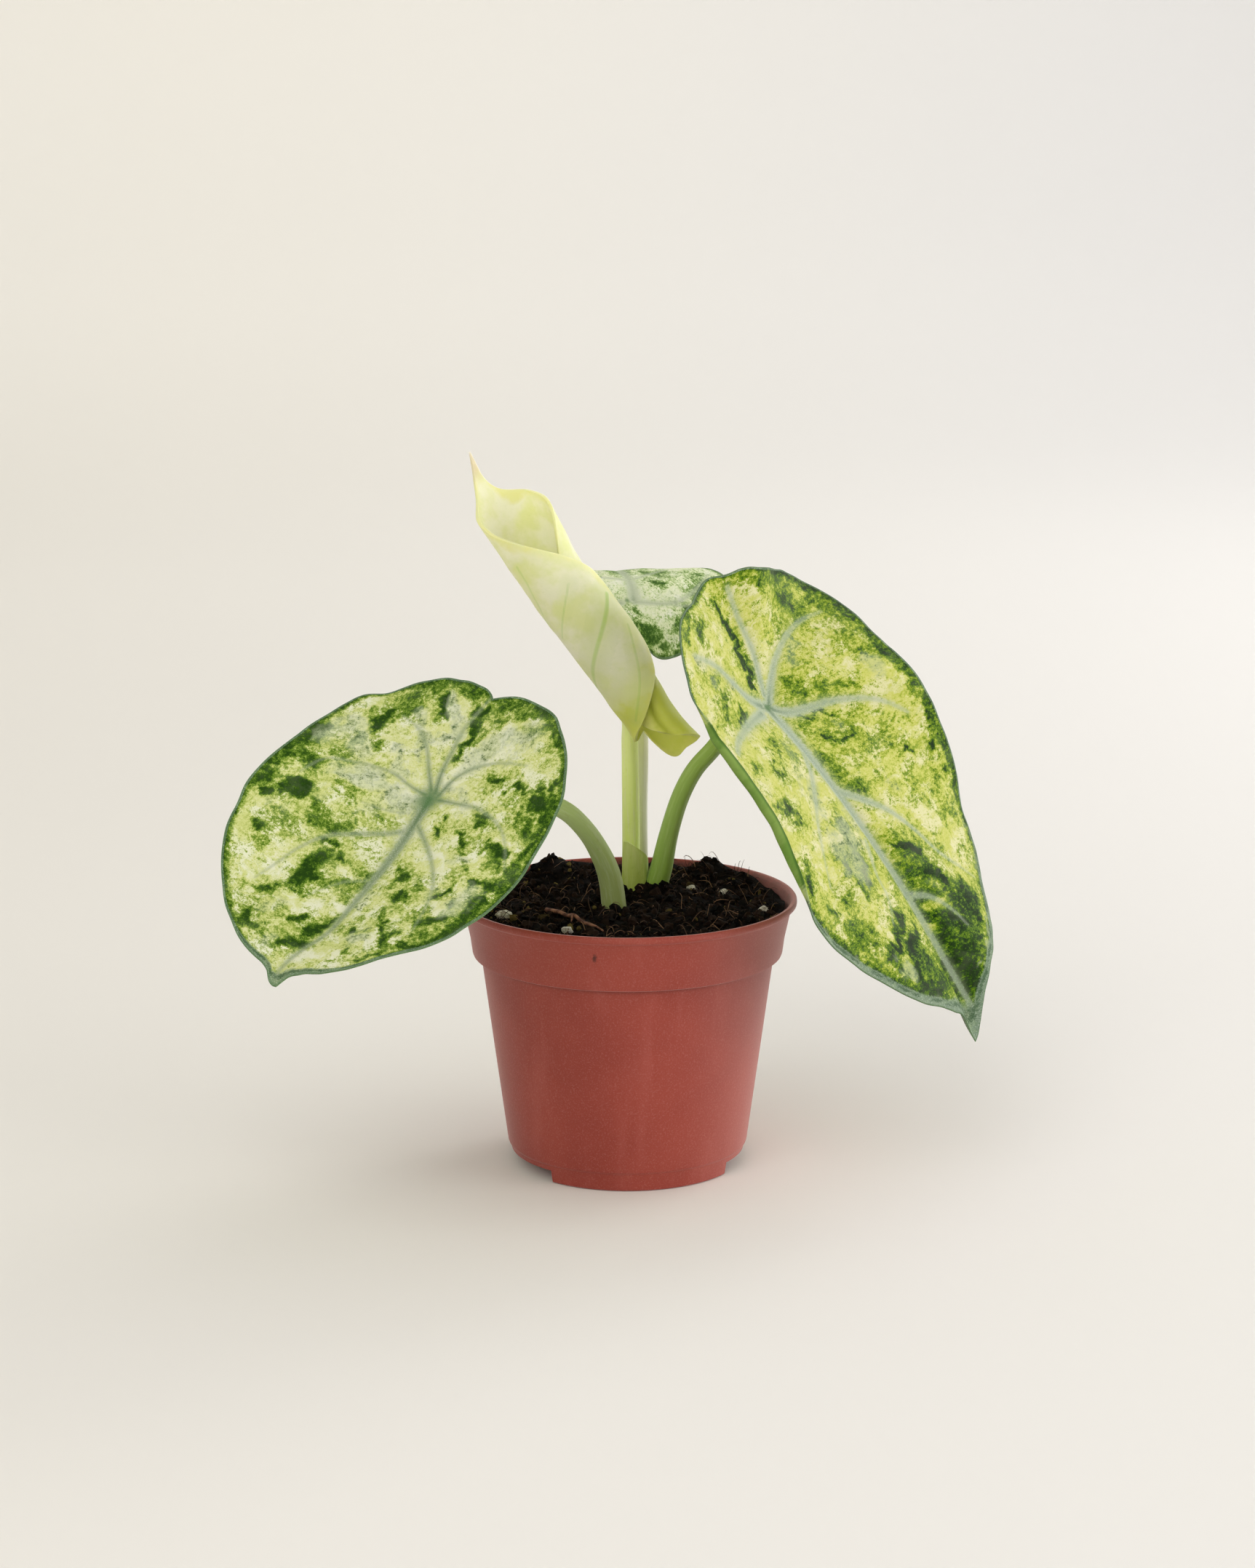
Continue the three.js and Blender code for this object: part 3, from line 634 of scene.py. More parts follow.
def thin_tube(points, radius, count=9, around=4):
    path, _ = smooth_path(points, count)
    side, other = frames_along(path)
    turns = 2 * math.pi * np.arange(around) / around
    taper = radius * np.interp(np.arange(count), [0, count * 0.6, count - 1], [1, 0.8, 0.35])
    corners = np.concatenate([path[i] + taper[i] * (np.outer(np.cos(turns), side[i])
                                                    + np.outer(np.sin(turns), other[i]))
                              for i in range(count)])
    faces = [(r * around + k, r * around + (k + 1) % around, (r + 1) * around + (k + 1) % around,
              (r + 1) * around + k) for r in range(count - 1) for k in range(around)]
    faces += [tuple(range(around))[::-1], tuple((count - 1) * around + k for k in range(around))]
    return corners, faces


# %% [markdown]
# Most fibres lie low and every third one stands up. A few finer ones, like hairs, rise in an arc
# above the rim at the back and right.

# %% Moss fibres and hair roots
FIBRE_COUNT, HAIR_COUNT = 380, 22
fibres, tints = [], []
for index in range(FIBRE_COUNT):
    radius = 26.5 * math.sqrt(rng.random())
    turn = rng.uniform(0, 2 * math.pi)
    at = np.array([radius * math.cos(turn), radius * math.sin(turn)])
    height = float(peat_height(*at))
    length = rng.uniform(1.6, 5.5)
    lean = rng.uniform(0, 2 * math.pi)
    rise = rng.uniform(0.15, 0.85) if index % 3 else rng.uniform(0.8, 1.3)
    route = []
    for t in np.linspace(0, 1, 5):
        lean += rng.normal(0, 0.45)
        at = at + 0.25 * length * np.array([math.cos(lean), math.sin(lean)]) * (t > 0) * 0.8
        if math.hypot(*at) > 28:
            at *= 28 / math.hypot(*at)
        route.append([*at, height - 0.3 + length * rise * math.sin(1.35 * t * math.pi / 2) * 0.55])
    route = np.array(route) + rng.normal(0, 0.08, (5, 3))
    shape = thin_tube(route, rng.uniform(0.03, 0.09), 8, 4)
    fibres.append(shape)
    tints += [rng.random()] * len(shape[0])
for _ in range(HAIR_COUNT):
    turn = rng.uniform(0.5, 1.35)
    at = 26.3 * np.array([math.cos(turn), math.sin(turn)])
    way, lift, bend = rng.normal(0, 2.6, 2), rng.uniform(1.0, 3.0), rng.uniform(1.5, 2.8)
    start = float(peat_height(*at)) - 0.4
    route = [[*(at + way * t * (1 - 0.3 * t)), start + lift * math.sin(bend * t)]
             for t in np.linspace(0, 1, 6)]
    fibres.append(thin_tube(np.array(route), rng.uniform(0.03, 0.06), 12, 4))
    tints += [rng.uniform(0, 0.7)] * len(fibres[-1][0])
threads = gather("peat_fibres", fibres)
store(threads, {"tint": np.array(tints)})
tidy_mesh(threads, smooth=80, weld=0, outward=False)

fibrous = rough_finish("dry_fibre", 0.7, 0.3, (44, 29, 21), [
    ((146, 112, 84), "tint", 0.2, 1.0), ((60, 42, 30), (900, 3), 0.45, 0.7, 0.6)],
    (3000, 3), 0.4, 0.0001)
stand_in(threads, "soil", [fibrous], "soil")

# %% [markdown]
# ## White grains and a scrap of root
# Perlite is puffed volcanic glass: white, dull, full of small pits. Each grain starts as a ball,
# is subdivided and dented, and keeps the size of its solid.

# %% Perlite grains
PERLITE = [(-21.6, -9.0, 1.3), (-10.4, -18.4, 0.9), (11.5, 12.6, 0.8), (17.4, 11.0, 0.8),
           (24.0, -3.5, 0.9)]
chalky = rough_finish("perlite", 0.9, 0.2, (150, 140, 126), [
    ((232, 227, 217), (1400, 5, 0.65), 0.36, 0.6)], (1400, 5, 0.65), 0.8, 0.0004)

for index, (x, y, size) in enumerate(PERLITE, 1):
    bpy.ops.object.select_all(action="DESELECT")
    bpy.ops.mesh.primitive_ico_sphere_add(subdivisions=4, radius=1)
    grain = named(f"perlite_grain_{index}")
    corners = np.array([v.co for v in grain.data.vertices])
    across, back, up = corners.T
    dents = 0.16 * lumps(across * 1.7 + index * 5, back * 1.7 + up * 2.3)
    dents += 0.09 * lumps(across * 4 + 3, back * 4 + up * 5 + index)
    corners *= (size * (0.95 + dents))[:, None] * [1.15, 0.95, 0.85]
    corners += [x, y, float(peat_height(x, y)) + 0.35 * size]
    grain.data.vertices.foreach_set("co", (corners * MM).ravel())
    tidy_mesh(grain, smooth=60)
    stand_in(grain, "perlite", [chalky], f"perlite_{index}")

# %% [markdown]
# The scrap of root lies across the front of the peat, bowed up a little, with one side root.

# %% A scrap of root
ROOT_START, ROOT_END = np.array([-14.2, -5.5]), np.array([-4.2, -20.6])


def root_point(u):
    x, y = ROOT_START + (ROOT_END - ROOT_START) * u
    return [x, y, float(peat_height(x, y)) + 0.9 + 0.6 * math.sin(math.pi * u)]


main_root = thin_tube([root_point(u) for u in np.linspace(0, 1, 9)], 0.42, 40, 10)
twig = root_point(0.42)
side_root = thin_tube([twig, [twig[0] + 0.4, twig[1] - 1.5, twig[2] + 0.25],
                       [twig[0] + 0.3, twig[1] - 3.2, twig[2] - 0.3]], 0.26, 14, 8)
root = gather("root_twig", [main_root, side_root])
tidy_mesh(root, smooth=80, weld=0)
woody = rough_finish("dry_root", 0.75, 0.3, (92, 56, 44), [
    ((160, 112, 88), (700, 4), 0.4, 0.62)], (1600, 4), 0.8, 0.0003)
stand_in(root, "root", [woody], "root_scrap")

# %% [markdown]
# ## An open blade
# The blade of this plant is a shield: the stalk meets it away from the edge, and the two lobes
# behind are almost joined, with a short notch. A place on it is given by the angle round the
# stalk, 0 at the tip and 180 at the notch, and the part of the way out to the margin. The sides
# below are the distances in millimetres from the stalk to the margin at each angle.

# %% Outlines of the blades
ANGLES = [0, 1, 2, 3, 4, 6, 8, 11, 15, 20, 25, 30, 36, 42, 48, 55, 62, 70, 78, 86, 95, 104, 112,
          120, 128, 135, 142, 149, 155, 160, 165, 170, 174, 177, 180]
LEFT_SIDES = (
    (46.3, 45.0, 43.8, 43.2, 42.9, 42.4, 42.3, 42.1, 41.5, 40.3, 38.5, 37.4, 36.5, 35.1, 33.1, 31.6,
     30.0, 28.5, 26.9, 26.2, 26.1, 26.3, 25.8, 25.5, 25.0, 24.6, 24.5, 23.9, 23.4, 23.1, 22.9, 22.5,
     21.9, 21.3, 20.6),
    (46.3, 46.3, 45.8, 44.8, 43.8, 43.0, 42.8, 42.4, 41.6, 40.2, 39.1, 37.7, 36.3, 34.9, 33.4, 31.2,
     29.7, 27.8, 26.5, 25.9, 25.9, 26.2, 26.6, 26.7, 25.1, 24.7, 24.4, 24.0, 23.7, 23.2, 23.0, 22.5,
     22.2, 21.6, 20.6))
RIGHT_SIDES = (
    (66.9, 66.3, 65.3, 64.0, 62.8, 61.0, 59.9, 58.2, 57.5, 56.4, 55.4, 54.8, 54.7, 52.8, 49.9, 47.6,
     44.4, 40.8, 38.6, 37.2, 36.6, 37.1, 36.5, 34.9, 32.4, 29.6, 26.9, 25.0, 24.0, 23.6, 23.7, 23.7,
     23.6, 23.7, 24.0),
    (66.9, 65.4, 63.4, 62.2, 61.5, 60.9, 60.2, 59.3, 58.6, 57.3, 55.8, 54.7, 53.6, 52.8, 51.2, 48.6,
     44.9, 42.4, 41.4, 40.2, 38.0, 36.9, 36.2, 35.2, 32.6, 29.7, 27.3, 25.8, 25.0, 24.6, 24.5, 24.6,
     24.6, 24.4, 24.0))
BACK_ANGLES = [0, 5, 12, 25, 45, 70, 95, 120, 140, 158, 171, 180]
BACK_SIDES = (
    (40.5, 35.0, 31.0, 25.4, 20.4, 17.0, 15.0, 14.2, 14.6, 15.3, 14.5, 8.8),
    (40.5, 36.4, 33.4, 29.4, 25.4, 21.6, 18.4, 16.4, 15.8, 16.0, 14.7, 8.8))

# %% [markdown]
# Each blade has a seat, where its stalk meets it, and turns that face it. The fold, arch, bow,
# hook and waves bend the flat shape. The band and the silver rim are lists of angles and widths:
# how far green reaches in from the margin, and how wide the silver edge is. The stretch evens
# out the grain on a blade that is seen at a slant.

# %% Stand and bend of the blades
LEFT = dict(seat=(-33.2, -28.0, 71.6), facing=-23.7, tilt=43.3, spin=-14.9, reach=49, fold=0.304,
            arch=(-0.008, 0.0102), bow=-0.7, hook=4.3,
            waves=(2.35, -1.56, -0.35, 1.04, 0.55, 1.19, 0.49, -0.1),
            angles=ANGLES, sides=LEFT_SIDES,
            band=((-180, -150, -130, -112, -90, -70, -50, -30, -10, 0, 20, 40, 60, 90, 120, 150,
                   170, 180),
                  (1.2, 2.4, 0.6, 1.4, 2.2, 1.3, 1.0, 1.6, 1.0, 0.8, 0.8, 1.6, 1.7, 1.2, 1.2, 2.4,
                   1.6, 1.2)),
            silver_rim=((-180, -20, -3, 0, 3, 20, 60, 180),
                        (0.35, 0.4, 1.6, 4, 1.6, 0.7, 0.4, 0.35)),
            stretch=0.85)
RIGHT = dict(seat=(24.3, -2.0, 82.2), facing=62.7, tilt=27.9, spin=3.3, reach=67.2, fold=0.303,
             arch=(0.0016, 0.0037), bow=10.3, hook=0.2,
             waves=(4.91, 0.38, 1.84, 0.18, 2.63, -1.02, 1.83, 1.32),
             angles=ANGLES, sides=RIGHT_SIDES, curl=(-104, -84, -62, -46, 2.7, 1.0),
             band=((-180, -150, -120, -90, -60, -40, -20, -5, 0, 20, 40, 60, 90, 120, 150, 180),
                   (0.5, 1.2, 0.7, 0.6, 0.8, 2.8, 3.4, 3.4, 3, 2.4, 2.6, 1.6, 2.0, 3.0, 1.4, 0.8)),
             silver_rim=((-180, -60, -45, -30, -8, -3, 0, 3, 8, 20, 34, 45, 180),
                         (0.25, 0.3, 1.1, 1.5, 1.6, 3, 7, 2.6, 1.4, 1.2, 1.1, 0.45, 0.3)),
             stretch=0.55)
BACK = dict(seat=(0.0, 24.8, 96.8), facing=8, tilt=65, spin=184, reach=41, fold=-0.04,
            arch=(0.0307, 0.025), bow=0, hook=0, waves=(0,) * 8,
            angles=BACK_ANGLES, sides=BACK_SIDES, band=((-180, 0, 180), (1.4, 1.2, 1.4)),
            silver_rim=((-180, 180), (0.4, 0.4)), stretch=1.6)


def blade_axes(leaf):
    facing, tilt, spin = (math.radians(leaf[key]) for key in ("facing", "tilt", "spin"))
    out = np.array([math.sin(facing) * math.cos(tilt), -math.cos(facing) * math.cos(tilt),
                    math.sin(tilt)])
    down = np.array([0, 0, -1.0]) + out * out[2]
    down /= np.linalg.norm(down)
    along = down * math.cos(spin) + np.cross(out, down) * math.sin(spin)
    return along, np.cross(out, along), out


def margin_of(leaf, degrees):
    above, below = (through(leaf["angles"], side, np.abs(degrees)) for side in leaf["sides"])
    return np.where(degrees > 0, above, below)


# %% [markdown]
# The sheet is folded in a shallow V along the midrib, arched, waved at its margin, and on one
# leaf the margin rolls over. The curl of that leaf says between which angles it rolls over, how
# wide the rolled strip is and how tight the roll.

# %% The sheet's formula
FOLD_WIDTH = 4  # the bottom of the V is rounded over about this width, in mm


def curl_share(leaf, degrees):
    if "curl" not in leaf:
        return np.zeros(np.shape(degrees))
    start, full, fade, end = leaf["curl"][:4]
    return ease(start, full, degrees) * (1 - ease(fade, end, degrees))


def sheet(leaf, fraction, degrees, relief):
    along, across, out = blade_axes(leaf)
    turn = np.radians(degrees)
    margin = margin_of(leaf, degrees)
    radius = fraction * margin
    rolled = 0.0
    if "curl" in leaf:
        width, tight = leaf["curl"][4:]
        inside = np.maximum(radius - (margin - width), 0)
        bend = inside / tight * curl_share(leaf, degrees) + 1e-9
        radius = radius - inside + inside * np.sin(bend) / bend
        rolled = inside * (1 - np.cos(bend)) / bend
    a, s = radius * np.cos(turn), radius * np.sin(turn)
    height = leaf["fold"] * (np.hypot(s, FOLD_WIDTH) - FOLD_WIDTH) + relief + rolled
    for count, (even, odd) in enumerate(np.reshape(leaf["waves"], (4, 2)), 2):
        wave = even * np.cos(count * turn) + odd * np.sin(count * turn)
        height = height + fraction ** 2 * wave
    u = np.maximum(a, 0) / leaf["reach"]
    s = s + 4 * leaf["bow"] * u * (1 - u) + leaf["hook"] * u ** 6
    curve = np.where(a > 0, leaf["arch"][0], leaf["arch"][1])
    swing = np.abs(a) * curve
    forward = np.sin(swing) / curve + height * np.sin(swing)
    drop = (1 - np.cos(swing)) / curve - height * np.cos(swing)
    return (np.array(leaf["seat"]) + np.outer(np.sign(a) * forward, along)
            + np.outer(s, across) - np.outer(drop, out))


# %% [markdown]
# ## Veins
# Each vein is a list of points on the flat blade, in millimetres from the stalk: along the
# midrib, then across it. The numbers in front are its half widths at its root and at its end.

# %% Veins of the three blades
RIGHT_VEINS = [
    (1.5, 0.5, [(0, 0), (12, 0.2), (24, 0.3), (38, 0.8), (51, 1.4), (63, 2.5)]),
    (1.1, 0.3, [(-0.5, 1.2), (-3.4, 4.3), (-6.5, 8.2), (-9.3, 14.1), (-10.8, 20.7), (-10.7, 28.9)]),
    (1.1, 0.4, [(0.6, 1), (2.4, 3.8), (3.5, 9.3), (4.3, 15.2), (6.2, 21.5), (8.6, 26.4),
                (12.6, 31.2)]),
    (1.0, 0.3, [(18.5, 0), (21.9, 4.6), (26.3, 9.9), (31.3, 13.5), (37.2, 16.8), (42.4, 22.8),
                (44.8, 26.1)]),
    (0.7, 0.3, [(40.7, 1.1), (42.8, 5.6), (46.8, 9.1), (50.1, 10.7)]),
    (1.2, 0.5, [(-0.7, -1.8), (-3.1, -7.4), (-7, -13), (-10.1, -17.7), (-13.4, -27.4)]),
    (1.1, 0.6, [(0.4, -3.8), (1, -16.2), (2.4, -27.3), (3.9, -31.6)]),
    (0.8, 0.3, [(10.2, -0.8), (13.7, -4.1), (17.7, -10.3), (22, -17), (26.8, -22.1), (31.8, -26)]),
    (0.6, 0.3, [(28.8, -2), (34.4, -7), (38.6, -8.2), (42.9, -12.3)]),
    (0.9, 0.5, [(-2.2, 1.1), (-9.5, 2.4), (-15.8, 1.5), (-21.5, 1.1)]),
]
LEFT_VEINS = [
    (1.5, 0.5, [(0, 0), (12, 1.3), (24, 1.9), (31.5, 2.1), (38, -0.3), (44.4, -1.2)]),
    (0.8, 0.3, [(7.1, 0), (9.1, -3), (11.5, -7.1), (14.5, -10.9), (18.9, -13.2), (23.3, -14.4),
                (27.8, -15.6)]),
    (0.6, 0.3, [(-0.5, -0.9), (-0.7, -4), (-1.5, -8.3), (-0.9, -12.6), (0.4, -16.4), (1.9, -19),
                (6.5, -20.5)]),
    (0.8, 0.3, [(-1.6, -0.6), (-4.7, -3.1), (-8.5, -6.1), (-11.2, -9.9), (-12.2, -13.7)]),
    (0.8, 0.3, [(-1.2, 1.2), (-5.1, 2.3), (-7.8, 4.9), (-9.5, 9.3), (-10, 15.1)]),
    (0.7, 0.3, [(-0.4, 1.8), (-0.7, 6.6), (-0.7, 11), (0.9, 16), (3.8, 19.7), (8.4, 22.9)]),
    (0.8, 0.3, [(5.1, 1.1), (8.6, 6.1), (12.5, 10.5), (16.2, 13.5), (19.9, 15.2), (26.4, 17)]),
    (0.4, 0.2, [(3.5, -0.5), (5.2, -5.7), (5.8, -9.6)]),
    (0.5, 0.2, [(17.9, 1.5), (20.4, -2.7), (25.8, -6.3)]),
    (0.9, 0.4, [(-1.4, 0.3), (-5.2, -0.8), (-10, -1.4), (-14.4, -1.8), (-20.4, -0.5)]),
]
BACK_VEINS = [
    (1.1, 0.4, [(0.3, -1.3), (6.3, -1.9), (15.1, -1.9), (26, -1.2), (37, 0)]),
    (0.9, 0.3, [(-0.5, -1.5), (-1.4, -7.5), (0, -10.5), (4.3, -14.2), (10.5, -17.4)]),
    (0.6, 0.3, [(-1.4, -7.5), (-2.3, -10), (-1.6, -12.4)]),
    (0.9, 0.3, [(-0.5, 1.5), (-1.2, 6.5), (1, 10.5), (5, 13.5), (9, 15.5)]),
    (0.7, 0.3, [(8, -1.9), (12, -7), (18, -12)]),
    (0.7, 0.3, [(8, -1.9), (12, 4), (18, 9)]),
]


def vein_points(points, count=36):
    points = np.asarray(points, float)
    knots = np.concatenate([[0], np.cumsum(np.linalg.norm(np.diff(points, axis=0), axis=1))])
    at = np.linspace(0, knots[-1], count)
    return np.stack([through(knots, points[:, 0], at), through(knots, points[:, 1], at)], axis=1)


def distance_to(path, a, s):
    nearest, where = np.full(a.shape, 1e9), np.zeros(a.shape)
    for i, ((a0, s0), (a1, s1)) in enumerate(zip(path, path[1:])):
        da, ds = a1 - a0, s1 - s0
        t = np.clip(((a - a0) * da + (s - s0) * ds) / (da * da + ds * ds), 0, 1)
        away = np.hypot(a - a0 - t * da, s - s0 - t * ds)
        closer = away < nearest
        nearest = np.where(closer, away, nearest)
        where = np.where(closer, (i + t) / (len(path) - 1), where)
    return nearest, where


def vein_fields(veins, a, s):
    in_widths, in_mm, strong = np.full(a.shape, 9.0), np.full(a.shape, 99.0), np.zeros(a.shape)
    for start, end, points in veins:
        away, where = distance_to(vein_points(points), a, s)
        width = start + (end - start) * where ** 0.7
        strong = np.where(away / width < in_widths, np.clip(width / 1.1, 0.25, 1), strong)
        in_widths = np.minimum(in_widths, away / width)
        in_mm = np.minimum(in_mm, away)
    return in_widths, in_mm, strong


# %% [markdown]
# ## Where the colours lie
# Variegation is chance: each blade has its own blotches. Each entry is a strength, a radius and
# one or more places on the blade that the stroke runs through, in millimetres. Among the
# blotches, a strength below 0 keeps a place pale. The veil is the silver mist that lies over
# parts of a blade. The edges of both are broken up by lumps here, and by noise in the finish.

# %% Blotches of each blade
RIGHT_BLOTCHES = [
    (.75, 4.6, 37, 6, 42, 6), (.9, 5, 46, 14, 50, 6, 58, 3), (.75, 3.6, 49, -10, 56, -5),
    (.3, 6, -14, 26), (.5, 3.4, 40, -25, 44, -20), (-.5, 1.6, 40, 5, 42, 8),
    (-.5, 1.4, 44.5, 4.5, 46, 8), (-.7, 2.6, 38, 24, 42, 23), (1, 1, 41.6, -9.2, 46.2, -14.4),
    (1, 1, 46.4, -6.6, 48.4, -12.8), (-.5, 2.4, 36, -18, 42, -16),
    (.55, 3.2, -20.7, 6.3, -18.5, 22.2), (.62, 3, -16.9, 18.2, -13.2, 22.6), (.4, 3, -12.4, 14.3),
    (.55, 2.4, -14.8, 30.3, -10.2, 32.5),
    (.75, 1.6, -17.9, 28.4, -12.9, 34.4, -7.7, 34.9, -2.2, 35.3, 2.5, 35.4, 7, 36.8, 11.9, 37.1,
     17.3, 37, 22.2, 38.4, 27.5, 37.9, 31.1, 37), (.35, 3.4, -5.2, 31.2, -.4, 32.4),
    (.5, 1.3, -7.7, 15.6), (.5, 1.4, -5.8, 12.8), (.45, .8, -.5, 28.9), (.45, .8, 6, 25.8),
    (.35, 1.5, -4.7, 25.9), (.6, 2, -2, 8.3, .2, 8.9), (.65, 1.4, .3, 14.5, 1.7, 14.9),
    (.6, 1.4, 2.9, 18, 3.6, 21), (.85, .8, 4.2, 7, 4.8, 9.8, 5.5, 13.3),
    (.85, 1.1, 9.1, 7.9, 10.7, 10.6, 11.5, 14.6), (.35, 4, 8.8, 12.8), (.4, 2.6, 6.4, 4.8),
    (.5, 2.4, 13.2, 3.5, 16.2, 3.9), (.55, 1.8, 18.4, 5, 21.2, 7.6), (.4, 3, 14.3, 16.4),
    (.35, 3, 14.8, 24.6), (1, 1.1, 18.8, 32.9), (1, .8, 18.3, 25.9, 19, 27.7), (1, .7, 24.5, 34.3),
    (.55, 1.4, 25.9, 30.6), (.6, .6, 11.3, 26.9), (.55, 1.4, 29.1, 23.8),
    (.95, 1.1, 39.4, 23.9, 40.7, 23.5), (.4, 2.6, 25.3, 22.8), (.45, 2.4, 32.5, 29.2),
    (1.1, 1.4, 31.5, 5, 33.5, 7, 35.6, 9.9), (.9, .8, 36.5, 3.8, 37.1, 5.1),
    (1, 1.4, 38.4, 8.5, 40, 10.7, 42.5, 11.4), (.62, 3, 42.5, 5.6, 45.7, 10.5),
    (.75, 3.4, 44.9, 17, 49.3, 13.2, 52.6, 10.2), (1, 1.3, 45.3, 3.4, 46.8, 5.3),
    (.65, 2.6, 51.1, 4.7, 49.2, 2.6), (.85, 2.6, 54.7, 3.3, 57.8, 3.8),
    (.6, 2, 34.7, 3.6, 39.5, 4.1), (-.5, 2, 30.7, 18.8, 35.9, 22.6, 41.6, 24.5),
    (-.35, 2.6, 27.7, 12.5), (.65, 1.5, -18.7, -18.8, -16.1, -21.7),
    (.6, 1.2, -20.3, -22.7, -16.8, -27.7), (.4, 2.4, -7.8, -22.2),
    (.6, 1.6, -4.1, -21.7, -2, -26.6), (.85, 1.3, -1.1, -15, -.3, -18.8), (.6, .9, -1.6, -33.6),
    (1, 1, -20.2, -2, -16.7, -1.4, -13.4, -1.7, -9.7, -1.9, -6.5, -1.5, -3.9, -1.9),
    (.6, .7, -15.3, .1, -11.2, .2, -7.6, .4), (.85, .6, 4.7, -18.7), (.6, .9, 7.1, -29.7),
    (1, .9, 10, -22, 10.6, -17.8), (.5, 2.6, 5.9, -12.4), (.4, 2, 8.8, -7.2),
    (1, .9, 17, -29.6, 17.8, -24.6), (.7, 1.1, 15.2, -30.5, 15.8, -26.5),
    (.8, .8, 19.6, -27.5, 20, -24), (.95, 1, 27.8, -34.4, 30, -35.5), (.65, 1.2, 26.2, -32.7),
    (.95, 1, 24.9, -8.2), (.6, 1.6, 23.1, -7.8), (.8, 1.5, 28, -9.4, 31.5, -9.6),
    (1, 1.3, 32.6, -11.4, 34.2, -11.9), (.85, 1.3, 28.1, -15.4, 30.9, -15.7),
    (1, 1.3, 34.9, -16.3, 36.8, -16.4), (.6, 2.2, 34.9, -23.3), (.7, 1.3, 34, -30.9, 36.3, -29.6),
    (.6, 2.4, 39.6, -26, 42.8, -24), (1.05, 1.2, 42.2, -8, 44, -12.2, 46.1, -15.9),
    (1.05, 1.2, 46.3, -9.4, 49.1, -11.3), (.75, 2, 47.6, -18.8),
    (.9, 1.9, 51, -13, 53.5, -14.3, 55.7, -9.3), (.75, 2.6, 52.9, -8.6),
    (.65, 1.6, 38.6, -34.8, 43.8, -30.4, 48.8, -26.2, 52.5, -21.2), (.5, 1.8, 42.2, -29),
    (-.6, 1.6, -19.7, 1.2, -15.5, 2.1, -11.6, 2.2), (-.5, 1.6, -15, -11.2, -12.5, -11.8),
    (-.6, .8, -17.9, -24.8, -15.2, -27.2), (-.45, 2.2, 3.1, -11.8, 3.7, -27),
    (-.4, 2, 14, -5.6, 18, -4.1), (-.5, 1.8, 28.9, -22.6, 30.5, -28.4),
    (-.6, 1.8, 40, -14.6, 43.4, -17.6), (-.4, 1.6, 37.2, -7.2), (-.4, 2, 18.6, 20.1),
    (-.35, 3.4, 14.2, 31.2, 4.6, 29.6), (-.35, 2.6, -.1, 23.2), (-.45, 2.2, -19.2, 5, -15.7, 5.8),
    (-.4, 2, 25.6, -26.7)]
RIGHT_VEIL = [
    (1, 3, 23.7, -8, 28.5, -10, 33, -12), (.9, 2.6, 24, -14, 31, -16), (.9, 2.2, 15.7, -7, 20, -12),
    (1, 1.6, 50.5, -16), (.7, 2.4, -7.7, 15.6, -5.5, 12.3), (.8, 2.2, 1.3, 30.1, 3.9, 29.6),
    (.7, 2, 23.1, -.9, 28.7, -4), (.6, 2, 23.4, 16.4), (.5, 2, 41.2, 7.3), (.7, 2.2, -7.4, -23.6),
    (.9, 2, 49.2, -17.2), (.6, 2, 7.9, 13.5), (.6, 2, 26.2, -7.6, 23.5, -15),
    (.9, 1.4, 38.4, -35.8, 44.1, -30.9, 49.3, -26.5, 53.8, -20.4, 57.1, -11.4),
    (.9, 1, 49, 24.7, 53.4, 16.3, 57.3, 8.6), (.7, 1, 35.5, 34.6, 40.4, 33.9, 45.2, 30.5),
    (.7, 2, -13, -27.8, -10.1, -21.5, -6.4, -12), (.6, 2.5, 7.8, -5.6, 15.8, -13.7)]
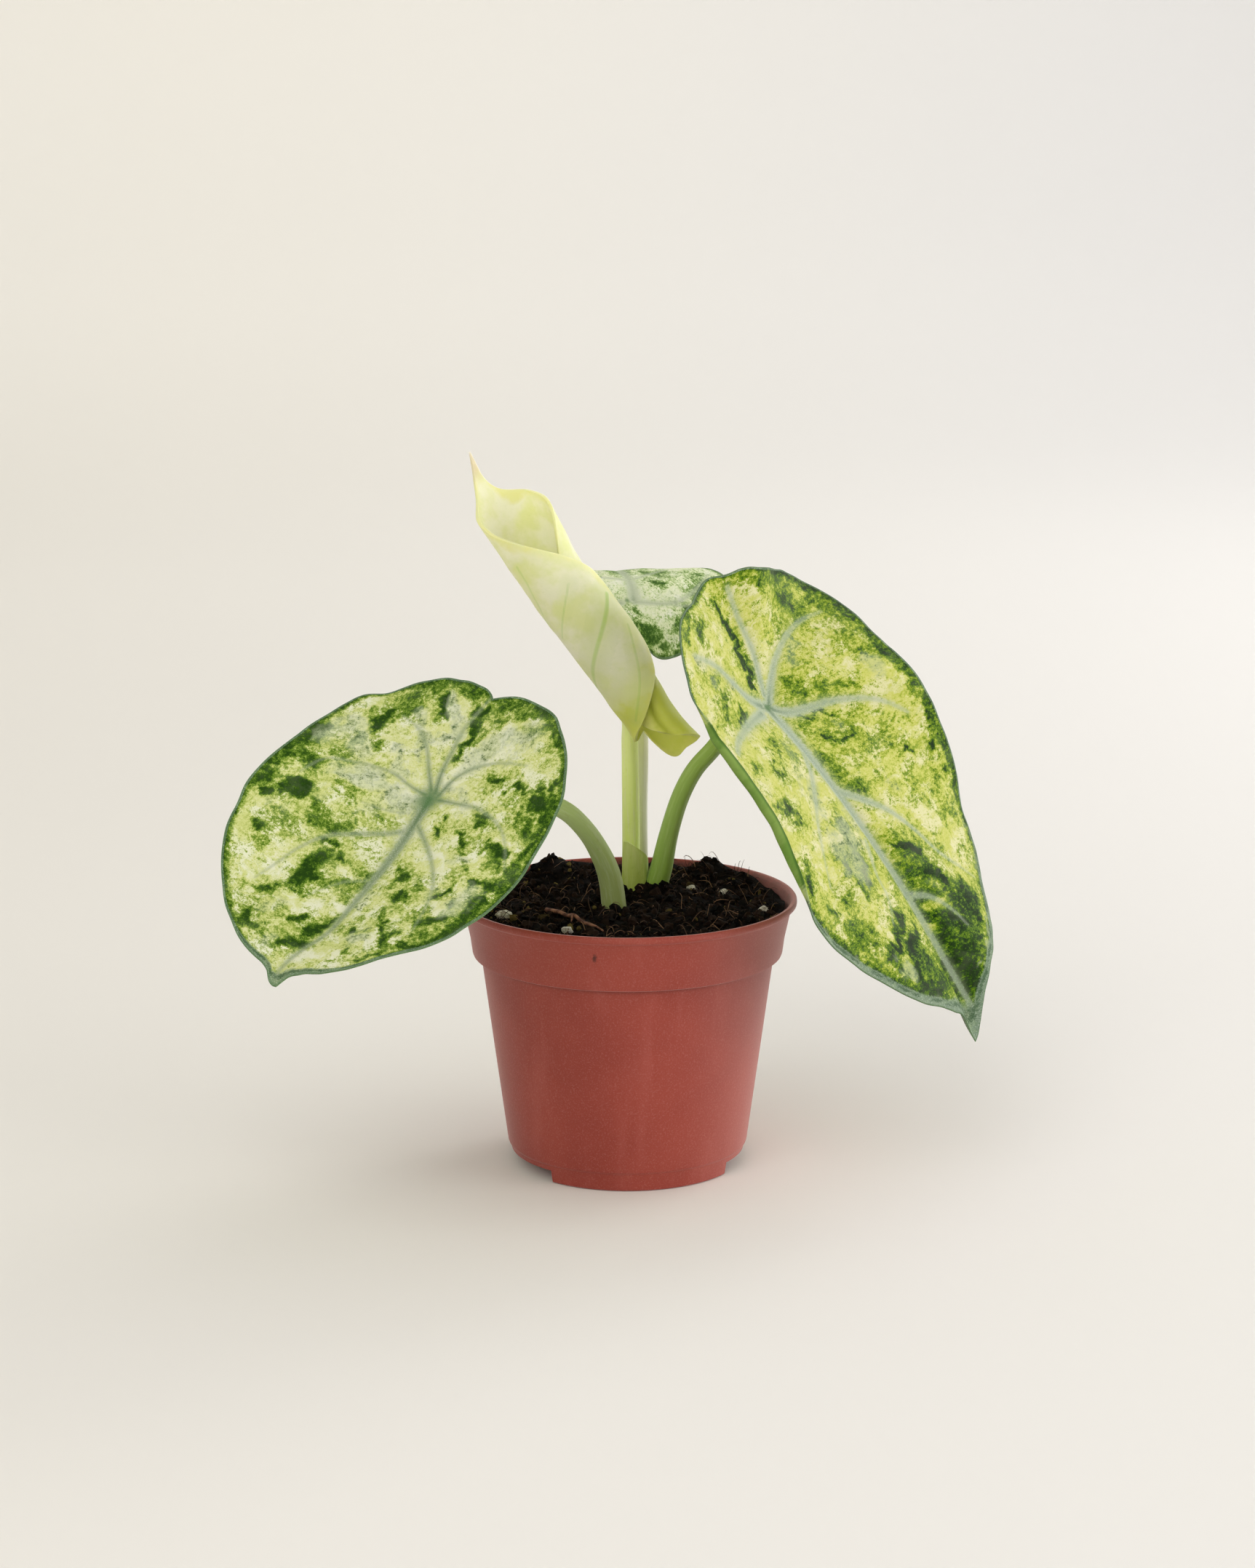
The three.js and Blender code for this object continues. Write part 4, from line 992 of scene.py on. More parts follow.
LEFT_BLOTCHES = [
    (.65, 1.8, -15.2, -16, -16.9, -14, -18.9, -11.6, -20.6, -9.1, -21, -5.6, -20.9, -2.5),
    (.6, 2, -13.6, -14.3, -14.9, -11.9), (1.1, 1.1, -12, -16.3, -10.4, -17, -8.4, -16.8),
    (1.1, 1, -16.8, -8.1, -15.6, -7.9), (.65, 2.2, -19.8, 3, -19.7, 6.9, -18.6, 11.1),
    (.5, 1.8, -16.5, 3.7), (.8, 1.2, -17.3, 14.9, -13.9, 19.5),
    (1, .8, -19.7, -.1, -17.3, -0, -15, .2, -12.2, .5, -9.7, .6), (.5, 1.2, -12.8, 2.4),
    (.9, 2.2, -2.4, -23.9, .6, -23.7, 2.7, -25), (.8, 1.8, 3.8, -22.3, 3.3, -20.6),
    (.8, 1.8, 5.4, -24.9, 8.9, -25.3, 12.5, -25.6), (.5, 2, 8.8, -23.9), (.6, 1.2, 5.2, -20.6),
    (1.1, 1.2, 10.3, -20.5, 9.3, -19.6, 9.5, -18.6), (1, 1, 12.9, -22.3, 12.2, -21.1),
    (.55, 1.2, -4.6, -17.3), (.5, 1.4, -3, -17.1), (.6, 1.2, -5.5, -14.6), (.45, 1.8, 0, -17.4),
    (.5, 2, 5.1, -13.1, 5, -11.3), (1, .9, 18.4, -21.3, 17.8, -20.9),
    (.55, 2.6, 12.1, -13.8, 11.1, -11.7), (.7, 1.4, 10.8, -9.4, 10.4, -8.5), (.6, 1.8, 13.9, -13.6),
    (.6, 1.8, 10.6, -14.3), (.45, 1.8, 7.4, -4.8), (.35, 2.2, 15.4, -18.6, 17.2, -15.6),
    (.4, 2, 20.8, -19), (.85, 1.3, 15.7, -9.3, 15.5, -7.7), (1, .9, 17.2, -5.9),
    (1, 1.3, 18.5, -8.1, 20.8, -8.6, 21.8, -6.8), (1.05, 1.2, 22, -8.2, 24.5, -8.5),
    (.5, 2, 22.7, -4.5), (.5, 2.4, 17.4, -2.5), (.7, .9, 16.4, -.7),
    (.6, 2.2, 20.4, -1.9, 18.7, .6), (.5, 2, 22.9, -1), (.9, .9, 26.6, -11.2),
    (.75, 1.1, 28.7, -11.6, 29.3, -13.2), (.6, 1, 25.8, -9), (1.05, 1, 30.9, -4.3, 30.1, -3.2),
    (.4, 2.2, 30.8, -7.1), (.9, .6, 35.4, -8.5), (.9, 1.3, 34.2, -12, 36.6, -10.7),
    (.5, 1.6, 37.5, -8.1), (.9, 1.1, 28.7, .8), (1, 1.3, 30.8, -.3, 32.4, -.8),
    (1, 1.6, 35, -.2, 35.6, -2.2, 37, -3.9), (.6, 1.4, 38.8, -4.3), (1.1, .9, 28.6, 6.2, 30.3, 7.8),
    (1, .8, 26.1, 10.4), (.9, 1.1, 28.2, 11.8, 29.8, 13.9, 32, 14.3), (.55, 1.4, 25, 8.7),
    (.85, 1.1, 15.6, 5.5, 16.2, 7.4), (.6, 1.4, 17.9, 5.9), (.8, 1.2, 19.3, 9.3, 21.7, 10),
    (.5, 1.4, 17.6, 10.2), (.9, .6, 3, 6.4), (1.05, .8, 6, 6.4), (.7, .7, 4.5, 7),
    (1, 1, 5.2, 11.3, 5.6, 13.1), (1, .7, 7.4, 15.6), (.9, .7, 5.3, 16.7),
    (.85, 1, .4, 11, .8, 12.7), (1, 1, -6.7, 9.8, -6.6, 11.4), (1, .8, -5.5, 16.1, -4.6, 17.7),
    (.9, .6, -4.3, 14.6), (1, .9, -7.2, 21.1, -5.9, 21.1),
    (1.1, 1.4, -3.6, 21.2, -3.4, 22.8, -4.8, 23.1), (.6, 1.6, -2.3, 18.7),
    (1, .9, 6.6, 18.6, 6.1, 20.7), (.6, 1.4, 7.9, 19.4, 8.5, 22), (1.1, .9, 16.9, 15, 16, 16),
    (1, .9, 18.7, 19.9), (1, 1, 13.5, 21, 12.7, 22.3, 11.8, 23.1), (.6, 1, 11.4, 17.4),
    (.9, 1.4, 23.8, 17.6, 22.2, 19.4), (.6, 1.6, 25.7, 16.5), (.6, 1.6, 25.9, 19.1),
    (.5, 1.4, 23.7, 13.8),
    (.95, 1.3, 30.3, 17.9, 28.6, 19.7, 25.7, 21.6, 22.3, 23.1, 18.8, 23.9, 15.2, 24.8),
    (.85, 1, 11.6, 25.1, 8.2, 25.2, 5.1, 25, 1.2, 24.8, -1.5, 25.1, -4.9, 24.7, -9.3, 23),
    (.65, .8, 35.6, 13.3, 32.7, 15.4), (.6, 1.2, 35.3, 8.8), (.5, 1, 37.8, 7.5),
    (.7, 1.4, 1.4, 22.8, -.9, 22.7), (.5, 2.2, .3, 19.8),
    (-.75, 1.8, -17.1, -4.3, -14.2, -4.2, -11, -4), (-.6, 2.2, -14.5, 6.8, -11.6, 5.5),
    (-.4, 2, -15.3, 10.1), (-.75, 2.2, .1, -10, 2.1, -5.9), (-.55, 1.6, .7, -11.9, 2.9, -3.1),
    (-.5, 1.4, -8.5, -13.7), (-.55, 1.6, -2.8, -13.9, -4.6, -11.9), (-.5, 1.4, -8.2, -20.7),
    (-.4, 1.6, -3.6, -5.6), (-.8, .9, 4.6, 19.1), (-.6, 1.2, 8.8, 17.5), (-.6, 1.3, 19.4, 16.8),
    (-.5, 1.2, 14.8, 18), (-.5, 2, 8.3, 10.2, 12, 9.9), (-.85, 1.4, 38.3, 2.2, 36.2, 5.4),
    (-.6, 1.3, 32.6, 11.2), (-.5, 2, 22.4, -16.6, 20.3, -15.1), (-.5, 1.4, 19.2, -3.7),
    (-.35, 2, 28.1, -7, 26, -1.1), (-.3, 2, 15.2, -22.5), (-.3, 2, 7.4, 2.4)]
LEFT_VEIL = [
    (1, 2.2, -16.6, -6, -14.4, -2.9, -10.9, -3.5), (1, 2.6, -9.8, 4.5, -13.8, 7.4, -15.2, 12.6),
    (1, 2.8, 1.7, -13.5, 1, -7.2, 2.4, -3), (.9, 2.2, -2, -22, -6.7, -19.9, -2.9, -14.8),
    (1, 2.6, 32.6, 9), (.9, 2.6, 15.4, 21.5, 20.1, 19.6), (.8, 2, 9.5, 14.6),
    (.9, 1.8, -13.5, -10.5, -10.9, -7.7, -7.6, -5.8), (.9, 1.8, -5.2, -9.9, -3.1, -6.5),
    (.9, 1.3, 2.7, -14.7, 1.8, -13.5), (.6, 2, 8.5, -15.6), (.7, 2, 2.8, -17.4, -.2, -13.1),
    (.7, 1.8, -16.3, 10.4, -13.1, 14.5, -10.6, 10.7), (.7, 1.6, -6.2, 2.7, -8.4, 5.6),
    (.7, 1.8, 21.7, 3.5, 25.9, 3.6), (.6, 2, 14.2, -20.4), (.6, 2, 29.3, -8.7, 31.9, -10.4),
    (.7, 1.6, 37, -6.4, 39.6, -6.3), (.6, 2, 29.2, 8.5, 31.7, 7.2), (.6, 2, 16.3, 13.3, 20.5, 15.6),
    (.8, 1.4, -3.5, .2, -2.7, 2.9, -.5, 6.2), (.6, 1.5, -1.3, -21.1, -4.6, -21.3),
    (.6, 2, 4.4, -6.3, 7.2, -7.2)]
BACK_BLOTCHES = [
    (0.6, 3, 2, -14, 8, -15), (0.7, 3, 12, -8), (0.7, 4, 20, -4), (0.7, 5, 24, 6), (0.7, 4, 8, 8),
    (0.6, 4, -6, 6), (0.7, 2.4, -8, -8), (0.7, 4, 30, 0), (1, 1.6, 6, -6), (1, 2, 14, 6),
    (1, 1.6, -4, -11), (1, 2, 22, -8), (1, 1.4, -5, 4), (0.8, 2, -1, -13.5, -8, -11),
    (-0.6, 2, 4, -3), (-0.5, 2, -4, -4), (-0.6, 3, 10, 2), (-0.6, 2, 16, -12), (-0.5, 1.6, 2, -9),
    (0.9, 1.6, -3, -0.7), (0.9, 2, -9.5, -1.5, -11, -3), (0.8, 1.6, -13.3, -5.4),
    (0.7, 3, 25.9, -1.2, 20, -2), (0.6, 3, 13.7, -1.5), (0.6, 2, 10.5, -13.9)]
BACK_VEIL = [
    (0.7, 3, 0, -8), (0.7, 3, 6, 4), (0.6, 4, 18, 2), (0.8, 1.5, -5, -13, -10, -10)]


def stroke_field(strokes, a, s, stretch):
    strong, around, pale = (np.zeros(a.shape) for _ in range(3))
    a = a + 1.5 * lumps(a / 2.6 + 3, s / 2.6) + 0.6 * lumps(a / 0.9, s / 0.9 + 8)
    s = s + 1.5 * lumps(a / 2.6, s / 2.6 + 5) + 0.6 * lumps(a / 0.9 + 6, s / 0.9)
    for strength, radius, *places in strokes:
        path = np.reshape(places, (-1, 2)) * (1, stretch)
        path = np.vstack([path, path[-1] + 0.01])
        away = distance_to(path, a, s * stretch)[0] / stretch ** 0.5
        touch = np.exp(-(away / radius) ** 3)
        if strength > 0:
            strong = np.maximum(strong, strength * touch)
            around = np.maximum(around, strength * bell(away, 2.2 * radius))
        else:
            pale = np.maximum(pale, -strength * touch)
    return np.maximum(strong, 0.4 * around) - 0.8 * pale


# %% [markdown]
# ## Shaping a blade
# The grid has an even number of columns round the stalk, closer together near the tip, and rows
# that close up towards the margin. The veins lie in grooves with the blade puffed up between
# them. Solidify gives the sheet a thickness, more under the midrib, where the real leaf has a
# keel. Another way would be to sculpt the puffs, but a formula puts each one between its veins.

# %% From grid to blade
THICK, KEEL = 0.46, 0.8


def polar_grid(across, up, crowding, closing, margin_at):
    t = 2 * across - 1
    degrees = 180 * np.sign(t) * np.abs(t) ** crowding
    fraction = 1 - (1 - up) ** closing
    margin = margin_at(degrees)
    a = fraction * margin * np.cos(np.radians(degrees))
    s = fraction * margin * np.sin(np.radians(degrees))
    return degrees, fraction, (1 - fraction) * margin, a, s


def thicken(piece, thickness, **settings):
    modify(piece, "SOLIDIFY", thickness=thickness * MM, use_quality_normals=True,
           material_offset=1, material_offset_rim=0, **settings)
    smooth_by_angle(piece, 60)


def open_blade(name, leaf, veins, blotches, veil):
    kept_values = {}

    def place(across, up):
        degrees, fraction, from_margin, a, s = polar_grid(
            across, up, 1.3, 1.25, lambda at: margin_of(leaf, at))
        in_widths, in_mm, strong = vein_fields(veins, a, s)
        groove = -0.14 * strong * bell(in_widths, 1.1)
        puff = 0.5 * (1 - bell(in_mm, 5.0)) * ease(0, 6, from_margin)
        ripple = 0.16 * lumps(a / 3.4 + 20, s / 3.4 + 20) * ease(0, 4, in_mm)
        band = bell(from_margin, np.interp(degrees, *leaf["band"]))
        stretch = leaf["stretch"]
        kept_values.update(
            leaf_plane=np.stack([a, s * stretch, 0 * a], axis=1), vein=in_widths,
            rim=from_margin, silver_rim=from_margin / np.interp(degrees, *leaf["silver_rim"]),
            vein_strength=strong, curl=curl_share(leaf, degrees) * ease(2.6, 2.0, from_margin),
            blotch=np.maximum(stroke_field(blotches, a, s, stretch), 0.85 * band),
            veil=stroke_field(veil, a, s, stretch))
        keel = bell(distance_to(vein_points(veins[0][2]), a, s)[0], 1.0)
        edge = 0.45 + 0.55 * ease(0, 1.6, from_margin)
        kept_values["thickness"] = ((THICK * edge + KEEL * keel * (1 - 0.7 * fraction))
                                    / (THICK + KEEL))
        return sheet(leaf, fraction, degrees, 0.1 + groove + puff + ripple)

    blade = grid_piece(name, 380, 84, place)
    weights = kept_values.pop("thickness")
    store(blade, kept_values)
    group = blade.vertex_groups.new(name="thickness")
    for index, weight in enumerate(weights):
        group.add([index], float(weight), "REPLACE")
    tidy_mesh(blade, smooth=180, outward=False)
    upper = np.mean([face.normal for face in blade.data.polygons], axis=0)
    if np.dot(upper, blade_axes(leaf)[2]) < 0:
        edit_all(blade, flip_normals={})
    thicken(blade, THICK + KEEL, offset=-1, vertex_group="thickness")
    return blade


# %% [markdown]
# The blade's colours are laid one over another, as in the leaf: a pale ground, soft mid green,
# dark green flecks, a silver veil, then the veins and the margin. Every mask is noise in the
# blade's own millimetres, pushed up or down by the blotches stored on the mesh.

# %% Blade finish
def tone_ramp(skin, value, tones):
    node = skin.tree.nodes.new("ShaderNodeValToRGB")
    skin.feed(node, {0: value})
    points = node.color_ramp.elements
    while len(points) < len(tones):
        points.new(0.5)
    for point, (place, *tone) in zip(points, tones):
        point.position = place
        point.color = paint(*tone)
    return node.outputs[0]


def blade_finish(name, tones, cream, vein_pale, vein_line, silver, rim_tone, pearl, hub, base,
                 contrast=1.0, dim=1.0, thin=1.0):
    skin = Finish(name, 0.5, 0.06)
    plane = skin.kept_place("leaf_plane")
    shift = skin.vector("SUBTRACT", {0: skin.noise(plane, 0.5, 4.0, 0.6, output="Color"),
                                     1: (0.5, 0.5, 0.5)})
    warped = skin.vector("ADD", {0: plane, 1: skin.vector("SCALE", {0: shift, 3: 3.2})})
    noises = dict(patchy=skin.noise(warped, 0.42, 6, 0.72), fine=skin.noise(plane, 1.5, 6, 0.76),
                  dust=skin.noise(plane, 5.0, 3, 0.7))
    patchy, fine, dust = noises.values()
    broad = skin.noise(warped, 0.15, 4, 0.6)
    painted_glint = skin.noise(plane, 4.5, 3, 0.8)
    blotch, veil, rim = (skin.kept(each) for each in ("blotch", "veil", "rim"))

    def grained(*value, **strengths):
        return skin.total(*value, *(skin.centred(noises[key], strength)
                                    for key, strength in strengths.items()))

    # the marbling: blotches and grain together choose a tone, and calm places have less grain
    quiet = skin.total(skin.noise(warped, 0.19, 3, 0.55), skin.product(veil, 0.15),
                       skin.product(blotch, -0.5))
    calm = skin.span(quiet, 0.46, 0.62, 1.0, 0.42)
    grain = grained(patchy=1.05 * contrast, fine=1.4 * contrast, dust=0.6 * contrast)
    level = skin.total(skin.product(blotch, 0.56), skin.product(grain, calm), base)
    skin.colour = tone_ramp(skin, level, tones)
    ground = grained(skin.noise(warped, 0.22, 5, 0.68, 0.4), fine=0.4)
    skin.lay(cream, skin.product(skin.mask(ground, 0.46, 0.6, 0.85), skin.mask(level, 0.46, 0.34)))
    skin.lay(silver, skin.product(skin.mask(grained(broad, fine=0.5), 0.5, 0.66, 0.1),
                                  skin.mask(level, 0.42, 0.5)))

    # the veil: pearl and silver mist with dark specks
    mist = grained(veil, patchy=1.3, fine=0.7)
    cloudy = grained(patchy, fine=0.8, dust=0.3)
    misty = skin.blend(skin.mask(cloudy, 0.38, 0.62), pearl, silver)
    skin.over(misty, mist, 0.3, 1.15, 0.8)
    skin.lay((70, 98, 52), skin.product(skin.mask(cloudy, 0.57, 0.68),
                                        skin.mask(mist, 0.4, 0.9, 0.8)))

    # the veins: a halo, a pale body, a line along the middle, painted glints on the body, and a
    # dark hub over the stalk
    strength = skin.kept("vein_strength")
    nearness = skin.product(skin.kept("vein"), thin)
    vein = grained(nearness, fine=1.6, dust=1.2)
    skin.lay(silver, skin.product(skin.mask(vein, 3.0, 1.0, 0.4), strength))
    body = skin.product(skin.mask(vein, 1.5, 0.6, 0.95), strength)
    skin.lay(vein_pale, body)
    core = skin.product(skin.mask(grained(nearness, dust=0.9), 0.7, 0.0, 0.6), strength)
    skin.lay(vein_line, core)
    # painted glints: pale specks on the vein bodies
    skin.lay((214, 222, 208), skin.product(body, skin.mask(painted_glint, 0.54, 0.64, 0.75)))
    middle = grained(skin.vector("LENGTH", {0: plane}, 1), fine=3.0, patchy=2.0)
    skin.lay((66, 104, 56), skin.product(skin.mask(middle, 3.4 * hub, 0.8 * hub, 0.8), core))
    skin.over((82, 122, 70), middle, hub, 0.2 * hub, 0.7)

    # the margin: a silver edge flecked with painted glints, a green stripe in it, and on one leaf
    # the rolled strip
    edge = grained(skin.kept("silver_rim"), fine=0.9, dust=0.7)
    # painted glints: paler flecks in the silver edge
    metal = skin.blend(skin.mask(painted_glint, 0.48, 0.62, 0.8), rim_tone, (184, 198, 180))
    skin.over(metal, edge, 1.15, 0.8, 0.85)
    skin.lay((62, 92, 58), skin.product(skin.mask(edge, 0.9, 0.74), skin.mask(edge, 0.36, 0.5),
                                        skin.mask(patchy, 0.4, 0.55, 0.8)))
    skin.over((92, 122, 76), rim, 0.22, 0.06, 0.7)
    # painted shade: dim darkens the whole colour of the blade
    if dim != 1:
        skin.lay((0, 0, 0, 1), 1 - dim)
    turned = grained(skin.kept("curl"), fine=0.5)
    rolled = skin.blend(skin.mask(broad, 0.4, 0.6), (128, 156, 78), (104, 138, 60))
    rolled = skin.blend(skin.mask(rim, 0.7, 0.2, 0.8), rolled, (64, 98, 40))
    skin.over(rolled, turned, 0.35, 0.55)
    skin.lay((190, 206, 130), skin.product(skin.mask(turned, 0.2, 0.34, 0.6),
                                           skin.mask(turned, 0.56, 0.4)))
    skin.feed(skin.shader, {"Roughness": skin.span(dust, 0, 1, 0.42, 0.68)})
    return skin.done(skin.total(dust, fine), 0.22, 0.0002)


# %% [markdown]
# The three blades share this network and differ in tones: the right one is yellower and darkened
# by painted shade, the left one grainier and greyer at its hub, and the back one pale.

# %% Tones of each blade
right_upper = blade_finish(
    "right_blade_upper",
    tones=((0.02, 226, 224, 166), (0.24, 214, 215, 122), (0.38, 198, 204, 94), (0.43, 170, 184, 62),
           (0.53, 138, 162, 36), (0.6, 104, 138, 16), (0.72, 66, 104, 6), (0.78, 36, 68, 2),
           (0.95, 20, 42, 4)),
    cream=(234, 230, 184), vein_pale=(178, 192, 166), vein_line=(146, 164, 142),
    silver=(160, 174, 134), rim_tone=(128, 150, 124), pearl=(198, 206, 164),
    hub=1.2, base=0.33, dim=0.82)
left_upper = blade_finish(
    "left_blade_upper",
    tones=((0.02, 236, 236, 208), (0.24, 220, 224, 160), (0.38, 204, 212, 128),
           (0.43, 176, 190, 96), (0.53, 140, 164, 66), (0.6, 102, 136, 40), (0.72, 72, 106, 24),
           (0.78, 48, 80, 14), (0.95, 34, 64, 12)),
    cream=(238, 240, 214), vein_pale=(146, 162, 126), vein_line=(116, 136, 100),
    silver=(158, 172, 130), rim_tone=(112, 140, 104), pearl=(208, 216, 186),
    hub=3.4, base=0.31, contrast=0.94, thin=1.35)
back_upper = blade_finish(
    "back_blade_upper",
    tones=((0.02, 246, 248, 226), (0.3, 234, 240, 202), (0.45, 204, 220, 160),
           (0.58, 132, 166, 84), (0.75, 82, 118, 46), (0.9, 56, 90, 34)),
    cream=(244, 246, 228), vein_pale=(196, 206, 176), vein_line=(172, 184, 152),
    silver=(196, 208, 170), rim_tone=(130, 156, 112), pearl=(222, 230, 206),
    hub=1, base=0.32, contrast=1.1)

# %% [markdown]
# A plain, paler green is meant for the undersides, one finish for all three blades. It goes in
# the second slot, but no face shows it: Solidify is applied before the blade has any slots, so
# every face keeps the first, and both sides are marbled. Filling the slots first would mend it.

# %% Underside
under = Finish("blade_underside", 0.55, 0.35, (146, 160, 100))
plane = under.kept_place("leaf_plane")
dust = under.noise(plane, 3.0, 4, 0.7)
under.over((128, 146, 84), under.noise(plane, 0.5, 6, 0.7), 0.4, 0.65)
under.over((172, 182, 128), dust, 0.55, 0.75, 0.5)
under.over((176, 186, 132), under.kept("vein"), 1.3, 0.4, 0.9)
underside = under.done(dust, 0.25, 0.0002)

# %% [markdown]
# Now the three blades are made. Each takes the place of its leaf's solid, together with the
# stalk that follows.

# %% The three open blades
for name, leaf, veins, blotches, veil, upper, node in (
        ("blade_right", RIGHT, RIGHT_VEINS, RIGHT_BLOTCHES, RIGHT_VEIL, right_upper, "leaf_right"),
        ("blade_left", LEFT, LEFT_VEINS, LEFT_BLOTCHES, LEFT_VEIL, left_upper, "leaf_left"),
        ("blade_back", BACK, BACK_VEINS, BACK_BLOTCHES, BACK_VEIL, back_upper, "leaf_back")):
    blade = open_blade(name, leaf, veins, blotches, veil)
    stand_in(blade, "leaf", [upper, underside], node)

# %% [markdown]
# ## Stalks
# A stalk is a soft, round rod that rises from the peat, bows over and meets the underside of its
# blade. It could be a curve with a bevel. A grid wrapped round the same route gives control of
# its thickness all along, and keeps the way along it as a value for the finish.

# %% Wrapped stalks
def stalk(name, route, radii, sides=28, rings=110):
    path, length = smooth_path(route, rings + 1)
    side, other = frames_along(path)
    kept_values = {}

    def place(across, up):
        turn = 2 * math.pi * across
        step = np.rint(up * rings).astype(int)
        radius = through(np.linspace(0, 1, len(radii)), radii, up)
        ridge = 1 + 0.025 * np.cos(5 * turn + 3 * up) + 0.02 * np.cos(9 * turn - 4 * up)
        kept_values.update(stalk_way=np.stack([turn, up * length, 0 * up], axis=1), up_stalk=up)
        round_part = np.cos(turn)[:, None] * side[step] + np.sin(turn)[:, None] * other[step]
        return path[step] + (radius * ridge)[:, None] * round_part

    rod = grid_piece(name, sides, rings, place)
    store(rod, kept_values)
    edit_all(rod, remove_doubles={"threshold": WELD * MM}, fill_holes={"sides": 0})
    tidy_mesh(rod, smooth=60)
    return rod


def seat_route(leaf, route):
    out = blade_axes(leaf)[2]
    seat = np.array(leaf["seat"])
    return [*route, seat - 7 * out, seat - 0.1 * out]


def stalk_finish(name, foot, middle, top, streak):
    skin = Finish(name, 0.45, 0.4, foot)
    up = skin.kept("up_stalk")
    lines = skin.noise(skin.scaled(skin.kept_place("stalk_way"), 3.0, 0.12, 1.0), 1.0, 5, 0.65)
    spots = skin.noise(skin.spot(), 900, 5, 0.7)
    skin.over(middle, up, 0.1, 0.45)
    skin.over(top, up, 0.4, 0.95)
    skin.over(streak, lines, 0.45, 0.7, 0.55)
    skin.over(foot, spots, 0.55, 0.72, 0.35)
    skin.feed(skin.shader, {"Sheen Weight": 0.12})
    return skin.done(skin.total(lines, skin.product(spots, 0.5)), 0.2, 0.0003)


# %% [markdown]
# The tones of a stalk are those of its foot, its middle, its top and the fine streaks along it.
# The route gives points in millimetres, and the radii are spread evenly from foot to top.

# %% The stalks of the open leaves
left_green = stalk_finish("left_stalk_skin", (180, 196, 122), (196, 220, 140), (206, 226, 150),
                          (218, 232, 180))
right_green = stalk_finish("right_stalk_skin", (146, 182, 66), (158, 190, 92), (138, 170, 64),
                           (184, 208, 124))
pale_skin = stalk_finish("pale_stalk_skin", (232, 232, 204), (244, 244, 222), (242, 244, 220),
                         (236, 232, 212))
lime_skin = stalk_finish("new_stalk_skin", (216, 232, 116), (230, 246, 140), (236, 246, 162),
                         (236, 240, 190))

for side, leaf, skin, radii, route in (
        ("left", LEFT, left_green, [2.3, 2.1, 1.7, 1.6, 1.5, 1.6], [
            (-1.6, 0.6, 36), (-2.4, -0.5, 45.8), (-3.2, -1.5, 51.8), (-5.1, -4, 57.2),
            (-8, -8, 62.6), (-11.6, -12, 66.6), (-17.5, -16.2, 69), (-24.5, -19.4, 68)]),
        ("right", RIGHT, right_green, [2.2, 2.1, 1.7, 1.6, 1.5, 1.6], [
            (5.6, 8.6, 36.5), (5.2, 9, 47.6), (6, 8.6, 50.8), (7.4, 7.6, 57.6), (9.5, 6.2, 64.8),
            (11.9, 4.9, 69.8), (14.8, 3.2, 73.6)]),
        ("back", BACK, pale_skin, [1.8, 1.6, 1.5, 1.5, 1.6], [
            (2, 13.9, 37), (2, 14.1, 48), (2, 14.4, 60), (2.2, 15.9, 74), (1.2, 19, 85)])):
    stand_in(stalk(f"stalk_{side}", seat_route(leaf, route), radii), "leaf", [skin], f"leaf_{side}")

# %% [markdown]
# ## The rolled leaf
# A new leaf of this plant comes up rolled along its length, one half inside the other. It is the
# same kind of sheet, but wound round a leaning line, with the upper face inside.

# %% The rolled sheet
ROLL_ANGLES = [0, 1, 2.5, 5, 10, 16, 23, 32, 45, 70, 95, 120, 140, 158, 171, 180]
ROLL_OUTER = [50.6, 46.4, 43.6, 41.8, 40.0, 37.6, 35.2, 32.6, 29.4, 21.8, 13.9, 10.6, 9.5, 8.8, 8.0,
              7.5]
ROLL_INNER = [50.6, 46.4, 43.6, 41.8, 40.4, 39.0, 37.2, 33.6, 29.0, 24.6, 21.8, 19.4, 17.4, 15.6,
              14.6, 7.5]
ROLL_BASE = np.array([1.4, 5.0, 84.1])
ROLL_LEAN, ROLL_START, ROLL_PITCH = math.radians(58), math.radians(-52), 1.5
ROLL_STATIONS = [-16, -6, 0, 8, 20, 34, 44, 52]
ROLL_RADII = [6.0, 4.6, 4.7, 5.2, 5.3, 6.0, 6.6, 6.4]
ROLL_SWAY = [0, 0, 0, -0.3, -1.1, -1.0, -0.2, 1.6]
ROLL_UP = np.array([-math.cos(ROLL_LEAN), 0, math.sin(ROLL_LEAN)])
ROLL_LEFT = np.array([-math.sin(ROLL_LEAN), 0, -math.cos(ROLL_LEAN)])
ROLL_FRONT = np.array([0, -1.0, 0])
ROLL_VEINS = [(0.38, 0.3, [(17.5, 19.4), (16.2, 18.1), (12.4, 14.1), (7.3, 8.9), (4, 6)]),
              (0.24, 0.16, [(30, 10), (25.7, 9.2), (21.4, 7.8), (16, 5)]),
              (0.2, 0.14, [(23, 15), (19.5, 11.9), (15, 8)]),
              (0.22, 0.16, [(11, 19), (9, 17.9), (2.5, 14.1), (-4, 9)])]
ROLL_CREASE = [(-1, -15.2), (-5, -16.2), (-11, -17.6)]


def roll_margin(degrees):
    outer, inner = (through(ROLL_ANGLES, side, np.abs(degrees))
                    for side in (ROLL_OUTER, ROLL_INNER))
    return np.where(degrees > 0, outer, inner)


def rolled_sheet(a, s, relief=0.0):
    core = through(ROLL_STATIONS, ROLL_RADII, a)
    turn = s / core
    angle = ROLL_START + turn
    wound = core + ROLL_PITCH * turn / (2 * math.pi) + relief
    sway = through(ROLL_STATIONS, ROLL_SWAY, a)
    return (ROLL_BASE + np.outer(a, ROLL_UP) + np.outer(wound * np.cos(angle) - sway, ROLL_LEFT)
            + np.outer(wound * np.sin(angle), ROLL_FRONT))


